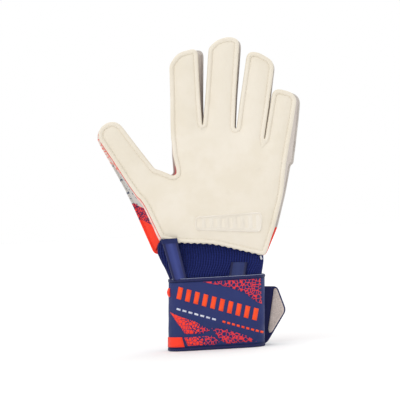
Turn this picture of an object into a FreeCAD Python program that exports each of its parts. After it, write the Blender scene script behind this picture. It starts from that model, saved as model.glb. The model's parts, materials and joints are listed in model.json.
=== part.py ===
import FreeCAD, Part
import math
import os

from FreeCAD import Vector

# Goalkeeper glove for a left hand, flat cut, about size 9. Millimetres.
# The wrist opening's centre is the origin, +Z runs to the fingertips, the palm faces -Y
# and the thumb points towards -X.

# ---- Layers of the hand, along Y -----------------------------------------------
PALM_FACE = -14.0        # outer face of the palm latex
LATEX = 6.0              # latex with its foam backing
PALM_INSIDE = PALM_FACE + LATEX
CAVITY = 16.0            # room for the hand
BACK_INSIDE = PALM_INSIDE + CAVITY
BACK_FOAM = 5.0
BACK_FACE = BACK_INSIDE + BACK_FOAM
LINING = 0.8
LINING_INSET = 9.0       # from the hand's edge to the lining's
GUSSET = 1.8             # mesh side walls sewn between palm and back
GUSSET_INSET = 1.2       # from the latex's edge to the gusset's outside
PATCH = 1.2              # heel patch on the palm

# ---- Bending: every digit bends towards the palm ---------------------------------
HINGE_Y = PALM_INSIDE + 2.0
SEAM_GAP = 0.25          # half of the gap between two segments of a digit
MARGIN = 0.2             # by which the cuts across a digit are wider than it
KNUCKLE_BEND = 50.0
MIDDLE_BEND = 60.0
THUMB_BASE_BEND = 35.0
THUMB_TIP_BEND = 50.0

# ---- Wrist, in plan: everything leans with the forearm ----------------------------
WRIST_LEAN = 3.25        # degrees from +Z towards +X
STRAP_HEIGHT = 65.0
STRAP_THICK = 2.5
STRAP_HALF_WIDTH = 43.6
STRAP_HALF_DEPTH = 18.6
STRAP_CORNER = 14.0
BINDING_WIDTH = 3.2      # tape round the band's two edges
BINDING = 0.5            # how far the tape stands proud of the band's outer face
FLAP_START = -28.0       # where the band turns into the closure flap, on the back
BAND_START = 2.0         # where the band is sewn down, under the flap
LOOP_PILE = 0.8
HOOK_PILE = 1.0
CLEAR = 0.3              # between pieces that part or move
CUFF_WALL = 2.0

INNER_BAND_OUTSIDE = STRAP_HALF_DEPTH - STRAP_THICK - HOOK_PILE - CLEAR - LOOP_PILE
CUFF_BACK = INNER_BAND_OUTSIDE - STRAP_THICK - CLEAR
CUFF_FRONT = -(STRAP_HALF_DEPTH - STRAP_THICK - CLEAR)

# ---- The hand's edge, as (x, z, corner radius) with the back's sideways shift ------
THUMB_SIDE = [(-44.0, 101.5, 3, -7.6, -12.8), (-57.3, 133.3, 50, -11.0, 0.0), (-69.2, 151.8, 20, -7.5, 0.0)]
CROTCH = [(-38.0, 161.5, 12, -2.0, 0.0), (-25.5, 155.0, 6, -3.8, 1.0), (-29.4, 177.0, 12, -0.6, 0.0)]
LITTLE_SIDE = [(71.6, 163.0, 50, 5.0, 0.0), (67.1, 135.6, 60, 2.8, 0.0), (58.0, 106.0, 60, 3.0, 0.0)]
PALM_HEM = [(48.5, 81.2, 3, 0.5, 0.0), (2.1, 94.8, 80, 0.0, -8.0), (-28.8, 97.5, 60, -3.0, -12.0)]


def rounded_wire(corners, y=0.0):
    """A closed wire in the plane at y, through corners (x, z, radius)."""
    points = [Vector(x, y, z) for x, z, _ in corners]
    count = len(points)
    arcs = []
    for i, (_, _, radius) in enumerate(corners):
        corner = points[i]
        back = points[i - 1] - corner
        ahead = points[(i + 1) % count] - corner
        half = back.getAngle(ahead) / 2
        room = min(
            back.Length * (0.48 if corners[i - 1][2] else 0.97),
            ahead.Length * (0.48 if corners[(i + 1) % count][2] else 0.97),
        )
        reach = min(radius / math.tan(half), room)
        if reach < 1e-3:
            arcs.append((corner, None, corner))
            continue
        radius = reach * math.tan(half)
        back.normalize()
        ahead.normalize()
        middle = back + ahead
        middle.normalize()
        centre = corner + middle * (radius / math.sin(half))
        arcs.append((corner + back * reach, centre - middle * radius, corner + ahead * reach))
    edges = []
    for i in range(count):
        start, through, end = arcs[i]
        if through is not None:
            edges.append(Part.Arc(start, through, end).toShape())
        after = arcs[(i + 1) % count][0]
        if (after - end).Length > 1e-6:
            edges.append(Part.LineSegment(end, after).toShape())
    return Part.Wire(edges)


def slab(corners, y_low, y_high):
    """A flat piece between two planes across Y."""
    return Part.Face(rounded_wire(corners, y_low)).extrude(Vector(0, y_high - y_low, 0))


def beside(path, distance):
    """An open path of (x, z, radius) moved sideways, to its right as it runs."""
    lines = []
    for (x0, z0, _), (x1, z1, _) in zip(path, path[1:]):
        length = math.hypot(x1 - x0, z1 - z0)
        nx, nz = (z1 - z0) / length, -(x1 - x0) / length
        lines.append((x0 + nx * distance, z0 + nz * distance, x1 - x0, z1 - z0, nx, nz))
    moved = [(lines[0][0], lines[0][1], 0)]
    for i in range(1, len(lines)):
        ax, az, adx, adz, _, _ = lines[i - 1]
        bx, bz, bdx, bdz, _, _ = lines[i]
        cross = adx * bdz - adz * bdx
        t = ((bx - ax) * bdz - (bz - az) * bdx) / cross
        turn_right = cross < 0
        radius = path[i][2] + (-distance if turn_right else distance)
        moved.append((ax + t * adx, az + t * adz, max(radius, 0.3)))
    _, _, dx, dz, nx, nz = lines[-1]
    x_end, z_end, _ = path[-1]
    moved.append((x_end + nx * distance, z_end + nz * distance, 0))
    return moved


def wall(palm_path, back_path, y_low=PALM_INSIDE, y_high=BACK_INSIDE, thick=GUSSET):
    """A side wall from the palm's edge to the back's edge; it thickens to the paths' right."""
    wires = []
    for path, y in ((palm_path, y_low), (back_path, y_high)):
        outer = [(x, z, 0 if i in (0, len(path) - 1) else r) for i, (x, z, r) in enumerate(path)]
        inner = beside(path, thick)
        wires.append(rounded_wire(outer + inner[::-1], y))
    return Part.makeLoft(wires, True, True)


class Digit:
    """A finger stall. u runs across it and v along it, both from its root's centre.

    lean is from +Z towards +X, widths are at the root, at the flare and at the tip, and
    back_shift is how far the back panel lies to +u of the latex, at the root and at the tip."""

    FLARE = 24.0
    DEPTH_IN_PALM = 14.0

    def __init__(self, name, root, lean, widths, tip, hinges, bends, back_shift):
        self.name = name
        self.root = root
        self.lean = math.radians(lean)
        self.halves = [w / 2 for w in widths]
        self.tip = tip
        self.length = max(v for _, v, _ in tip)
        self.hinges = hinges
        self.bends = bends
        self.back_shift = back_shift

    def at(self, u, v, back=False):
        """(x, z) of a point on the latex, or on the back panel."""
        if back:
            u += self.shift(v)
        sin, cos = math.sin(self.lean), math.cos(self.lean)
        return self.root[0] + u * cos + v * sin, self.root[1] - u * sin + v * cos

    def half(self, v):
        root, middle, tip = self.halves
        if v < self.FLARE:
            return root + (middle - root) * max(v, 0.0) / self.FLARE
        return middle + (tip - middle) * (v - self.FLARE) / (self.length - self.FLARE)

    def outline(self, back=False):
        """The stall's corners, from its left root round the tip to its right root."""
        root, middle, tip = self.halves
        local = [(-root, -self.DEPTH_IN_PALM, 0), (-root, 0, 30), (-middle, self.FLARE, 60)]
        local += [(side * tip, v, r) for side, v, r in self.tip]
        local += [(middle, self.FLARE, 60), (root, 0, 30), (root, -self.DEPTH_IN_PALM, 0)]
        return [(*self.at(u, v, back), r) for u, v, r in local]

    def side_path(self, side, v_low, v_high, back=False):
        """The gusset's outside along one side of the stall, upwards."""
        middle = (v_low + v_high) / 2
        points = []
        for v in (v_low, middle, v_high):
            points.append((*self.at(side * (self.half(v) - GUSSET_INSET), v, back), 40))
        return points

    def tip_path(self, v_low, back=False):
        """The gusset's outside from the left side round the tip to the right side."""
        left = (*self.at(-(self.half(v_low) - GUSSET_INSET), v_low, back), 0)
        right = (*self.at(self.half(v_low) - GUSSET_INSET, v_low, back), 0)
        tip = self.halves[2] - GUSSET_INSET
        over = [(*self.at(side * tip, v - GUSSET_INSET, back), r) for side, v, r in self.tip]
        return [left] + over + [right]

    def shift(self, v):
        """How far the back panel lies to +u of the latex at v."""
        start, end = self.back_shift
        return start + (end - start) * min(max(v / self.length, -0.2), 1.0)

    def hinge_prism(self, hinge, side, bevel, low, high):
        """The space on one side of a hinge, +1 towards the tip, between two values of u.
        Its face slopes by half the bend in front of the hinge, towards side -1 or +1 as bevel says."""
        v = self.hinges[hinge] + bevel * SEAM_GAP
        slope = math.tan(math.radians(self.bends[hinge] / 2))
        front = PALM_FACE - 4.0
        behind = BACK_FACE + 20.0
        reach = 130.0 if side > 0 else 60.0
        profile = [
            (v, behind),
            (v, HINGE_Y),
            (v + bevel * (HINGE_Y - front) * slope, front),
            (v + side * reach, front),
            (v + side * reach, behind),
        ]
        corners = []
        for along, y in profile:
            x, z = self.at(low, along)
            corners.append(Vector(x, y, z))
        wire = Part.makePolygon(corners + corners[:1])
        across = Vector(math.cos(self.lean), 0, -math.sin(self.lean))
        return Part.Face(wire).extrude(across * (high - low))

    def beyond(self, hinge, side):
        """What a moving segment may fill on one side of a hinge, clear of the other at full bend."""
        low = -self.halves[0] + min(0.0, *self.back_shift) - MARGIN
        high = self.halves[0] + max(0.0, *self.back_shift) + MARGIN
        return self.hinge_prism(hinge, side, side, low, high)

    def swept(self, with_back):
        """What the fixed hand leaves free past the first hinge, and in front of it."""
        shift = self.shift(self.hinges[0]) if with_back else 0.0
        low = -self.halves[0] + min(0.0, shift) - MARGIN
        high = self.halves[0] + max(0.0, shift) + MARGIN
        return self.hinge_prism(0, 1, -1, low, high)


INDEX = Digit("index", (-15.8, 203.0), 0.8, (28.2, 26.6, 25.8), [(-1, 54.8, 9), (-0.4, 65.0, 14), (0.75, 68.4, 6), (1, 65.4, 4)],
              (12.0, 39.0), (KNUCKLE_BEND, MIDDLE_BEND), (1.0, 5.0))
MIDDLE = Digit("middle", (13.5, 202.1), 6.9, (28.4, 27.0, 27.0),
               [(-1, 68.0, 5), (-0.5, 75.4, 16), (0.3, 79.4, 14), (0.95, 77.2, 8), (1, 71.0, 6)],
               (12.0, 44.0), (KNUCKLE_BEND, MIDDLE_BEND), (1.0, 1.8))
RING = Digit("ring", (41.9, 194.9), 11.0, (25.6, 26.0, 25.2), [(-1, 70.0, 6), (-0.2, 70.4, 14), (1, 64.2, 9)],
             (12.0, 40.0), (KNUCKLE_BEND, MIDDLE_BEND), (1.2, 1.2))
LITTLE = Digit("little", (64.2, 180.1), 12.5, (22.0, 22.8, 22.2), [(-1, 50.8, 6), (1, 48.8, 9)],
               (11.0, 30.0), (KNUCKLE_BEND, MIDDLE_BEND), (6.5, 3.5))
THUMB = Digit("thumb", (-58.5, 158.4), -32.3, (27.0, 24.8, 22.8), [(-1, 58.6, 11), (1, 57.4, 11)],
              (2.0, 27.0), (THUMB_BASE_BEND, THUMB_TIP_BEND), (-5.5, -1.5))
DIGITS = [INDEX, MIDDLE, RING, LITTLE, THUMB]


def moved(corners, back):
    """The hand's corners on the latex, or shifted to the back panel's edge."""
    if not back:
        return [(x, z, r) for x, z, r, _, _ in corners]
    return [(x + dx, z + dz, r) for x, z, r, dx, dz in corners]


def hand_outline(back=False):
    """The hand between the digits' roots, from the wrist's thumb side round to its hem."""
    corners = moved(THUMB_SIDE, back)
    thumb_in = (*THUMB.at(THUMB.halves[0], 0, back), 30)
    corners.append(thumb_in)
    corners += moved(CROTCH, back)
    corners.append((*INDEX.at(-INDEX.halves[0], 2, back), 0))
    for left, right in ((INDEX, MIDDLE), (MIDDLE, RING), (RING, LITTLE)):
        x0, z0 = left.at(left.halves[0], -2, back)
        x1, z1 = right.at(-right.halves[0], -2, back)
        corners.append(((x0 + x1) / 2, (z0 + z1) / 2, 0))
    corners.append((*LITTLE.at(LITTLE.halves[0], 2, back), 0))
    corners += moved(LITTLE_SIDE, back)
    corners += moved(PALM_HEM, back)
    return corners


def hand_sheet(y_low, y_high, back=False):
    """The hand and the stubs of the digits, up to each digit's first hinge."""
    sheet = slab(hand_outline(back), y_low, y_high)
    stalls = [slab(d.outline(back), y_low, y_high) for d in DIGITS]
    sheet = sheet.fuse(stalls).removeSplitter()
    for digit in DIGITS:
        sheet = max(sheet.cut(digit.swept(back)).Solids, key=lambda s: s.Volume)
    return sheet


def lining(y_low, y_high, back=False):
    """The thin fabric inside the hand, clear of the seams and of the cuff's top."""
    whole = Part.Face(rounded_wire(hand_outline(back), y_low)).makeOffset2D(-LINING_INSET)
    sheet = whole.extrude(Vector(0, y_high - y_low, 0))
    above_cuff = Part.makeBox(300, 60, 200, Vector(-150, -30, CUFF_LEVELS[-1][0] + CLEAR))
    return sheet.common(above_cuff).Solids[0]


def segment(digit, shape, upper):
    """The part of a shape that lies on the digit's lower or upper moving segment."""
    if upper:
        return shape.common(digit.beyond(1, 1))
    return shape.common(digit.beyond(0, 1)).common(digit.beyond(1, -1))


def digit_nodes(digit):
    """Latex, back panel and gusset for the digit's two moving segments."""
    latex = slab(digit.outline(), PALM_FACE, PALM_INSIDE)
    panel = slab(digit.outline(back=True), BACK_INSIDE, BACK_FACE)
    first, second = digit.hinges
    sides = []
    for side in (-1, 1):
        paths = [digit.side_path(side, first - 6, second + 6, back) for back in (False, True)]
        if side > 0:
            paths = [path[::-1] for path in paths]
        sides.append(wall(*paths))
    tip = wall(digit.tip_path(second - 6), digit.tip_path(second - 6, back=True))
    return {
        f"{digit.name}_lower_latex": segment(digit, latex, False),
        f"{digit.name}_upper_latex": segment(digit, latex, True),
        f"{digit.name}_lower_back": segment(digit, panel, False),
        f"{digit.name}_upper_back": segment(digit, panel, True),
        f"{digit.name}_lower_gusset": Part.makeCompound([segment(digit, s, False).Solids[0] for s in sides]),
        f"{digit.name}_upper_gusset": segment(digit, tip, True),
    }


def root_side(digit, side, v_low, back):
    """Two points of a gusset's outside, from low on a digit's root up to past its first hinge."""
    u = side * (digit.halves[0] - GUSSET_INSET)
    top = digit.hinges[0] + 5
    over = side * (digit.half(top) - GUSSET_INSET)
    return [(*digit.at(u, v_low, back), 4), (*digit.at(over, top, back), 0)]


def clip_at_hinge(shape, *digits):
    """A fixed gusset, cut off where the digits' moving segments begin."""
    for digit in digits:
        shape = shape.cut(digit.swept(True))
    return max(shape.Solids, key=lambda s: s.Volume)


FORK = 1.6               # flat width at the bottom of the fork between two fingers
CROTCH_DROP = 1.5        # from the thumb's fork down to its gusset


def web(left, right):
    """The gusset in the fork between two fingers, open towards the fingertips."""
    paths = []
    for back in (False, True):
        down = root_side(left, 1, -1, back)[::-1]
        up = root_side(right, -1, -1, back)
        (x0, z0, _), (x1, z1, _) = down[1], up[0]
        x, z = (x0 + x1) / 2, min(z0, z1) + 1.0
        paths.append([down[0], (x - FORK / 2, z, 0.5), (x + FORK / 2, z, 0.5), up[1]])
    return clip_at_hinge(wall(*paths), left, right)


def little_side_gusset():
    """The long mesh strip from the little finger's root to the wrist."""
    paths = []
    for back in (False, True):
        path = root_side(LITTLE, 1, 0, back)[::-1]
        path += [(x - GUSSET_INSET, z, r) for x, z, r in moved(LITTLE_SIDE, back)]
        path.append((*moved(PALM_HEM, back)[0][:2], 0))
        paths.append(path)
    return clip_at_hinge(wall(*paths), LITTLE)


def thumb_side_gusset():
    """The strip from the wrist up the thumb's outer side; the back panel reaches past it."""
    paths = []
    for back in (False, True):
        path = [(x + GUSSET_INSET, z, r) for x, z, r in moved(THUMB_SIDE[:2], back)]
        path += root_side(THUMB, -1, -6, back)
        paths.append(path)
    return clip_at_hinge(wall(*paths), THUMB)


def crotch_gusset():
    """The strip in the fork between thumb and index finger."""
    paths = []
    for back in (False, True):
        path = root_side(THUMB, 1, -4, back)[::-1]
        low, corner, high = moved(CROTCH, back)
        path.append((low[0], low[1] - CROTCH_DROP, low[2]))
        path += [(x + GUSSET_INSET, z - CROTCH_DROP + 1.0, r) for x, z, r in (corner, high)]
        path += root_side(INDEX, -1, -2, back)
        paths.append(path)
    return clip_at_hinge(wall(*paths), THUMB, INDEX)


# ---- Wrist ------------------------------------------------------------------------
def lean(height):
    """Sideways shift of the wrist at a height."""
    return height * math.tan(math.radians(WRIST_LEAN))


def leaning(face, height):
    return face.extrude(Vector(lean(height), 0, height))


def plan_wire(corners, z):
    """A closed wire at height z through plan corners (x, y, radius), shifted by the lean."""
    wire = rounded_wire([(x + lean(z), y, r) for x, y, r in corners])
    wire.rotate(Vector(), Vector(1, 0, 0), -90)
    wire.translate(Vector(0, 0, z))
    return wire


def plan_corners(half_width, y_front, y_back, radius):
    return [
        (-half_width, y_front, radius),
        (half_width, y_front, radius),
        (half_width, y_back, radius),
        (-half_width, y_back, radius),
    ]


CUFF_LEVELS = [  # height, half width, front, back, corner radius
    (0.0, 40.4, CUFF_FRONT, CUFF_BACK, 12.0),
    (66.0, 40.4, CUFF_FRONT, CUFF_BACK, 12.0),
    (79.0, 41.6, PALM_INSIDE + CLEAR, BACK_INSIDE - CLEAR, 7.0),
    (108.0, 37.4, PALM_INSIDE + CLEAR, BACK_INSIDE - CLEAR, 7.0),
]


def elastic_cuff():
    """The knitted tube round the wrist; its top is sewn inside the hand."""
    outer = []
    inner = []
    for z, half, front, back, radius in CUFF_LEVELS:
        outer.append(plan_wire(plan_corners(half, front, back, radius), z))
        thin = plan_corners(half - CUFF_WALL, front + CUFF_WALL, back - CUFF_WALL, radius - CUFF_WALL)
        inner.append(plan_wire(thin, z))
    return Part.makeLoft(outer, True, True).cut(Part.makeLoft(inner, True, True))


BAND_PATH = [  # the band's outer face in plan, from where it is sewn down, round the front, to the fold
    (BAND_START, INNER_BAND_OUTSIDE, 0),
    (STRAP_HALF_WIDTH, INNER_BAND_OUTSIDE, STRAP_CORNER),
    (STRAP_HALF_WIDTH, -STRAP_HALF_DEPTH, STRAP_CORNER),
    (-STRAP_HALF_WIDTH, -STRAP_HALF_DEPTH, STRAP_CORNER),
    (-STRAP_HALF_WIDTH, STRAP_HALF_DEPTH, STRAP_CORNER),
    (FLAP_START, STRAP_HALF_DEPTH, 0),
]


def band(z_low, z_high, proud=0.0):
    """A stretch of the strap's height, thicker on its outer face by a binding's tape."""
    outer = beside(BAND_PATH, -proud) if proud else BAND_PATH
    inner = beside(BAND_PATH, STRAP_THICK)
    face = Part.Face(plan_wire(outer + inner[::-1], z_low))
    return leaning(face, z_high - z_low)


FLAP_OUTLINE = [  # x, z, corner radius; the tip reaches past the band on the little finger's side
    (FLAP_START + CLEAR, 0.4, 0),
    (46.0, 0.4, 6),
    (65.6, 29.6, 7),
    (58.6, 51.8, 4),
    (38.0, 53.0, 60),
    (6.0, STRAP_HEIGHT - 0.6, 60),
    (FLAP_START + CLEAR + lean(STRAP_HEIGHT), STRAP_HEIGHT - 0.6, 0),
]
HOOK_TIP = [  # the hook tape sewn on the flap's tip
    (46.0, 2.6, 2),
    (64.4, 29.6, 6),
    (57.9, 50.4, 3),
    (55.6, 50.6, 2),
]
LOOP_OUTLINE = [(6.0, 5.0, 4), (28.5, 5.0, 4), (30.0, 57.0, 4), (7.0, 57.0, 4)]
TAB_HEIGHT = 9.0         # the small tab on the band, its height, bottom and thickness
TAB_BOTTOM = 3.8
TAB = 1.0
TAB_START = 198.0        # degrees round the band's front corner on the thumb side
TAB_END = 272.0


def strap_tab():
    """The small tab sewn round the band's lower front corner, on the thumb's side."""
    centre_x = -STRAP_HALF_WIDTH + STRAP_CORNER + lean(TAB_BOTTOM)
    centre = Vector(centre_x, -STRAP_HALF_DEPTH + STRAP_CORNER, TAB_BOTTOM)

    def point(radius, degrees):
        angle = math.radians(degrees)
        return centre + Vector(math.cos(angle), math.sin(angle), 0) * radius

    middle = (TAB_START + TAB_END) / 2
    inner, outer = STRAP_CORNER, STRAP_CORNER + TAB
    edges = [
        Part.Arc(point(inner, TAB_START), point(inner, middle), point(inner, TAB_END)).toShape(),
        Part.LineSegment(point(inner, TAB_END), point(outer, TAB_END)).toShape(),
        Part.Arc(point(outer, TAB_END), point(outer, middle), point(outer, TAB_START)).toShape(),
        Part.LineSegment(point(outer, TAB_START), point(inner, TAB_START)).toShape(),
    ]
    return leaning(Part.Face(Part.Wire(edges)), TAB_HEIGHT)


def tilted_strip(corners, thick):
    """A flat strip that leans back upwards, from corners (x, y, z) in one plane."""
    points = [Vector(*c) for c in corners]
    face = Part.Face(Part.makePolygon(points + points[:1]))
    normal = face.normalAt(0, 0)
    if normal.y > 0:
        normal = normal * -1
    return face.extrude(normal * thick)


def pull_on_loop():
    """The strip that helps to pull the glove on, from the palm's hem down behind the strap."""
    top, bottom = -11.4, -16.6
    corners = [(-35.4, bottom, 66.4), (-23.6, bottom, 66.4), (-30.0, top, 97.0), (-44.2, top, 97.0)]
    return tilted_strip(corners, 1.6)


def cuff_tab():
    """The second end of the pull-on tape, low on the cuff's front."""
    corners = [(14.7, -16.6, 66.4), (29.3, -16.6, 66.4), (31.6, -10.4, 77.0), (17.2, -10.4, 77.0)]
    return tilted_strip(corners, 1.4)


HEEL_OUTLINE = [
    (-14.0, 107.5, 4.0),
    (46.0, 102.5, 4.0),
    (48.5, 121.5, 4.0),
    (-13.0, 120.5, 4.0),
]


def wrist_nodes():
    top_edge = STRAP_HEIGHT - BINDING_WIDTH
    strap = band(BINDING_WIDTH, top_edge)
    flap_low = STRAP_HALF_DEPTH - STRAP_THICK
    return {
        "elastic_cuff": elastic_cuff(),
        "wrist_strap": strap,
        "strap_lower_binding": band(0.0, BINDING_WIDTH, BINDING),
        "strap_upper_binding": band(top_edge, STRAP_HEIGHT, BINDING),
        "strap_tab": strap_tab(),
        "loop_patch": slab(LOOP_OUTLINE, INNER_BAND_OUTSIDE, INNER_BAND_OUTSIDE + LOOP_PILE),
        "closure_flap": slab(FLAP_OUTLINE, flap_low, STRAP_HALF_DEPTH),
        "hook_patch": slab(HOOK_TIP, flap_low - HOOK_PILE, flap_low),
        "pull_on_loop": pull_on_loop(),
        "cuff_tab": cuff_tab(),
    }


def hand_nodes():
    palm = hand_sheet(PALM_FACE, PALM_INSIDE)
    back = hand_sheet(BACK_INSIDE, BACK_FACE, back=True)
    return {
        "palm_latex": palm,
        "backhand_panel": back,
        "palm_lining": lining(PALM_INSIDE, PALM_INSIDE + LINING),
        "backhand_lining": lining(BACK_INSIDE - LINING, BACK_INSIDE, back=True),
        "heel_patch": slab(HEEL_OUTLINE, PALM_FACE - PATCH, PALM_FACE),
        "index_middle_gusset": web(INDEX, MIDDLE),
        "middle_ring_gusset": web(MIDDLE, RING),
        "ring_little_gusset": web(RING, LITTLE),
        "little_side_gusset": little_side_gusset(),
        "thumb_side_gusset": thumb_side_gusset(),
        "crotch_gusset": crotch_gusset(),
    }


def write(nodes):
    os.makedirs("parts", exist_ok=True)
    for name, shape in nodes.items():
        assert shape.isValid() and shape.Solids, name
        if len(shape.Solids) == 1:
            shape = shape.Solids[0]
        shape.exportStep(f"parts/{name}.step")
        box = shape.BoundBox
        spans = ((box.XMin, box.XMax), (box.YMin, box.YMax), (box.ZMin, box.ZMax))
        sizes = " ".join(f"{low:.1f}..{high:.1f}" for low, high in spans)
        print(f"{name}: {len(shape.Solids)} solid, {shape.Volume / 1000:.1f} cm3, {sizes}")


nodes = hand_nodes()
nodes.update(wrist_nodes())
for each in DIGITS:
    nodes.update(digit_nodes(each))
write(nodes)
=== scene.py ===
import json
import math

import bmesh
import bpy
import numpy as np
from mathutils import Matrix, Vector
from mathutils.geometry import delaunay_2d_cdt


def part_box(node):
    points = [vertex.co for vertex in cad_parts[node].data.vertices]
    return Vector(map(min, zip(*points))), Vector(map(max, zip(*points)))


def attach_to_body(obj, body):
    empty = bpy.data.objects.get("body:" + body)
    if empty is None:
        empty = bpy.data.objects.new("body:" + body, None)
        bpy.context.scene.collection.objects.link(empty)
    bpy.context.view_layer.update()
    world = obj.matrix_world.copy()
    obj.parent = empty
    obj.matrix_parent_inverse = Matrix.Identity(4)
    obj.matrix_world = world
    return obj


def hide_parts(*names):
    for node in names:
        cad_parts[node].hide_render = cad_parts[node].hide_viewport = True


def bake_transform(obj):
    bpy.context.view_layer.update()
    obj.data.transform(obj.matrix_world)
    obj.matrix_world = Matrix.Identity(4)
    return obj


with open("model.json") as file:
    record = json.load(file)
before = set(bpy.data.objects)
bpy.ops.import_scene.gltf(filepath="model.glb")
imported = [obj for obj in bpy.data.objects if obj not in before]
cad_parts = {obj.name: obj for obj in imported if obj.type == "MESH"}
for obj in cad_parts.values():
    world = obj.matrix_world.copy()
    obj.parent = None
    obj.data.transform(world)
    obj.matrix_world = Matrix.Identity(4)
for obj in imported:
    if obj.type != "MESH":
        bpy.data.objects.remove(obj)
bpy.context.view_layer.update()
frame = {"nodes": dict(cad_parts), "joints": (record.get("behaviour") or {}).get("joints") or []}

MM = 0.001
UV_SCALE = 10            # UV maps are in tenths of a metre
OUTLINE_STEP = 1.3 * MM  # spacing of the points on an outline
SNAP, PER_METRE = 1e-5, 1e5   # outline points are matched in hundredths of a mm
WORLD_LIGHT = 0.76
FLOOR_REACH = 6.0
SUNS = [  # name, direction it comes from, strength, spread in degrees
    ("key", (-0.55, -0.75, 0.8), 0.75, 60),
    ("back", (0.6, 0.8, 0.7), 0.5, 70),
    ("top", (0.0, 0.1, 1.0), 0.5, 90),
]

NODES = frame["nodes"]
JOINTS = {j["name"]: j for j in frame["joints"]}


def corner(name, side, axis):
    """One coordinate of a CAD node's box: side 0 is its low corner, 1 its high corner."""
    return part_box(name)[side][axis]


PALM_FACE = corner("palm_latex", 0, 1)
PALM_INSIDE = corner("palm_latex", 1, 1)
BACK_INSIDE = corner("backhand_panel", 0, 1)
BACK_FACE = corner("backhand_panel", 1, 1)
SEAM_IN = 3.9 * MM       # from the latex's edge to its line of stitches


# ---- Camera, floor and lights ----------------------------------------------------
def make_camera():
    roll = math.radians(3.25)
    distance = 1.8
    frame_width = 0.36
    aim = Vector((-7.4 * MM, 0.0, 134.8 * MM))
    data = bpy.data.cameras.new("camera")
    data.sensor_width = 36.0
    data.lens = data.sensor_width * (distance + PALM_FACE) / frame_width
    camera = bpy.data.objects.new("camera", data)
    up = Vector((math.sin(roll), 0.0, math.cos(roll)))
    back = Vector((0.0, -1.0, 0.0))
    right = up.cross(back)
    axes = Matrix((right, up, back)).transposed()
    camera.matrix_world = Matrix.Translation(aim + back * distance) @ axes.to_4x4()
    bpy.context.scene.collection.objects.link(camera)
    bpy.context.scene.camera = camera


def add_sun(name, direction, strength, spread):
    """A broad soft light from a direction, as a large studio panel far off gives."""
    data = bpy.data.lights.new(name, "SUN")
    data.energy = strength
    data.angle = math.radians(spread)
    light = bpy.data.objects.new(name, data)
    light.rotation_euler = Vector(direction).to_track_quat("Z", "Y").to_euler()
    bpy.context.scene.collection.objects.link(light)


def make_studio():
    world = bpy.data.worlds.new("studio")
    world.use_nodes = True
    nodes, links = world.node_tree.nodes, world.node_tree.links
    path, pick = nodes.new("ShaderNodeLightPath"), nodes.new("ShaderNodeMixShader")
    lighting, seen = nodes["Background"], nodes.new("ShaderNodeBackground")
    for i, (background, strength) in enumerate(((lighting, WORLD_LIGHT), (seen, 1.0))):
        background.inputs["Color"].default_value = (1.0, 1.0, 1.0, 1.0)
        background.inputs["Strength"].default_value = strength
        links.new(background.outputs[0], pick.inputs[1 + i])
    links.new(path.outputs["Is Camera Ray"], pick.inputs["Fac"])
    links.new(pick.outputs[0], nodes["World Output"].inputs["Surface"])
    bpy.context.scene.world = world
    for sun in SUNS:
        add_sun(*sun)
    mesh = bpy.data.meshes.new("floor")
    corners = [(x * FLOOR_REACH, y * FLOOR_REACH, 0) for x, y in ((-1, -1), (1, -1), (1, 1), (-1, 1))]
    mesh.from_pydata(corners, [], [(0, 1, 2, 3)])
    floor = bpy.data.objects.new("floor", mesh)
    bpy.context.scene.collection.objects.link(floor)
    mesh.materials.append(plain("floor_white", (0.96, 0.96, 0.96), 0.9))


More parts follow.
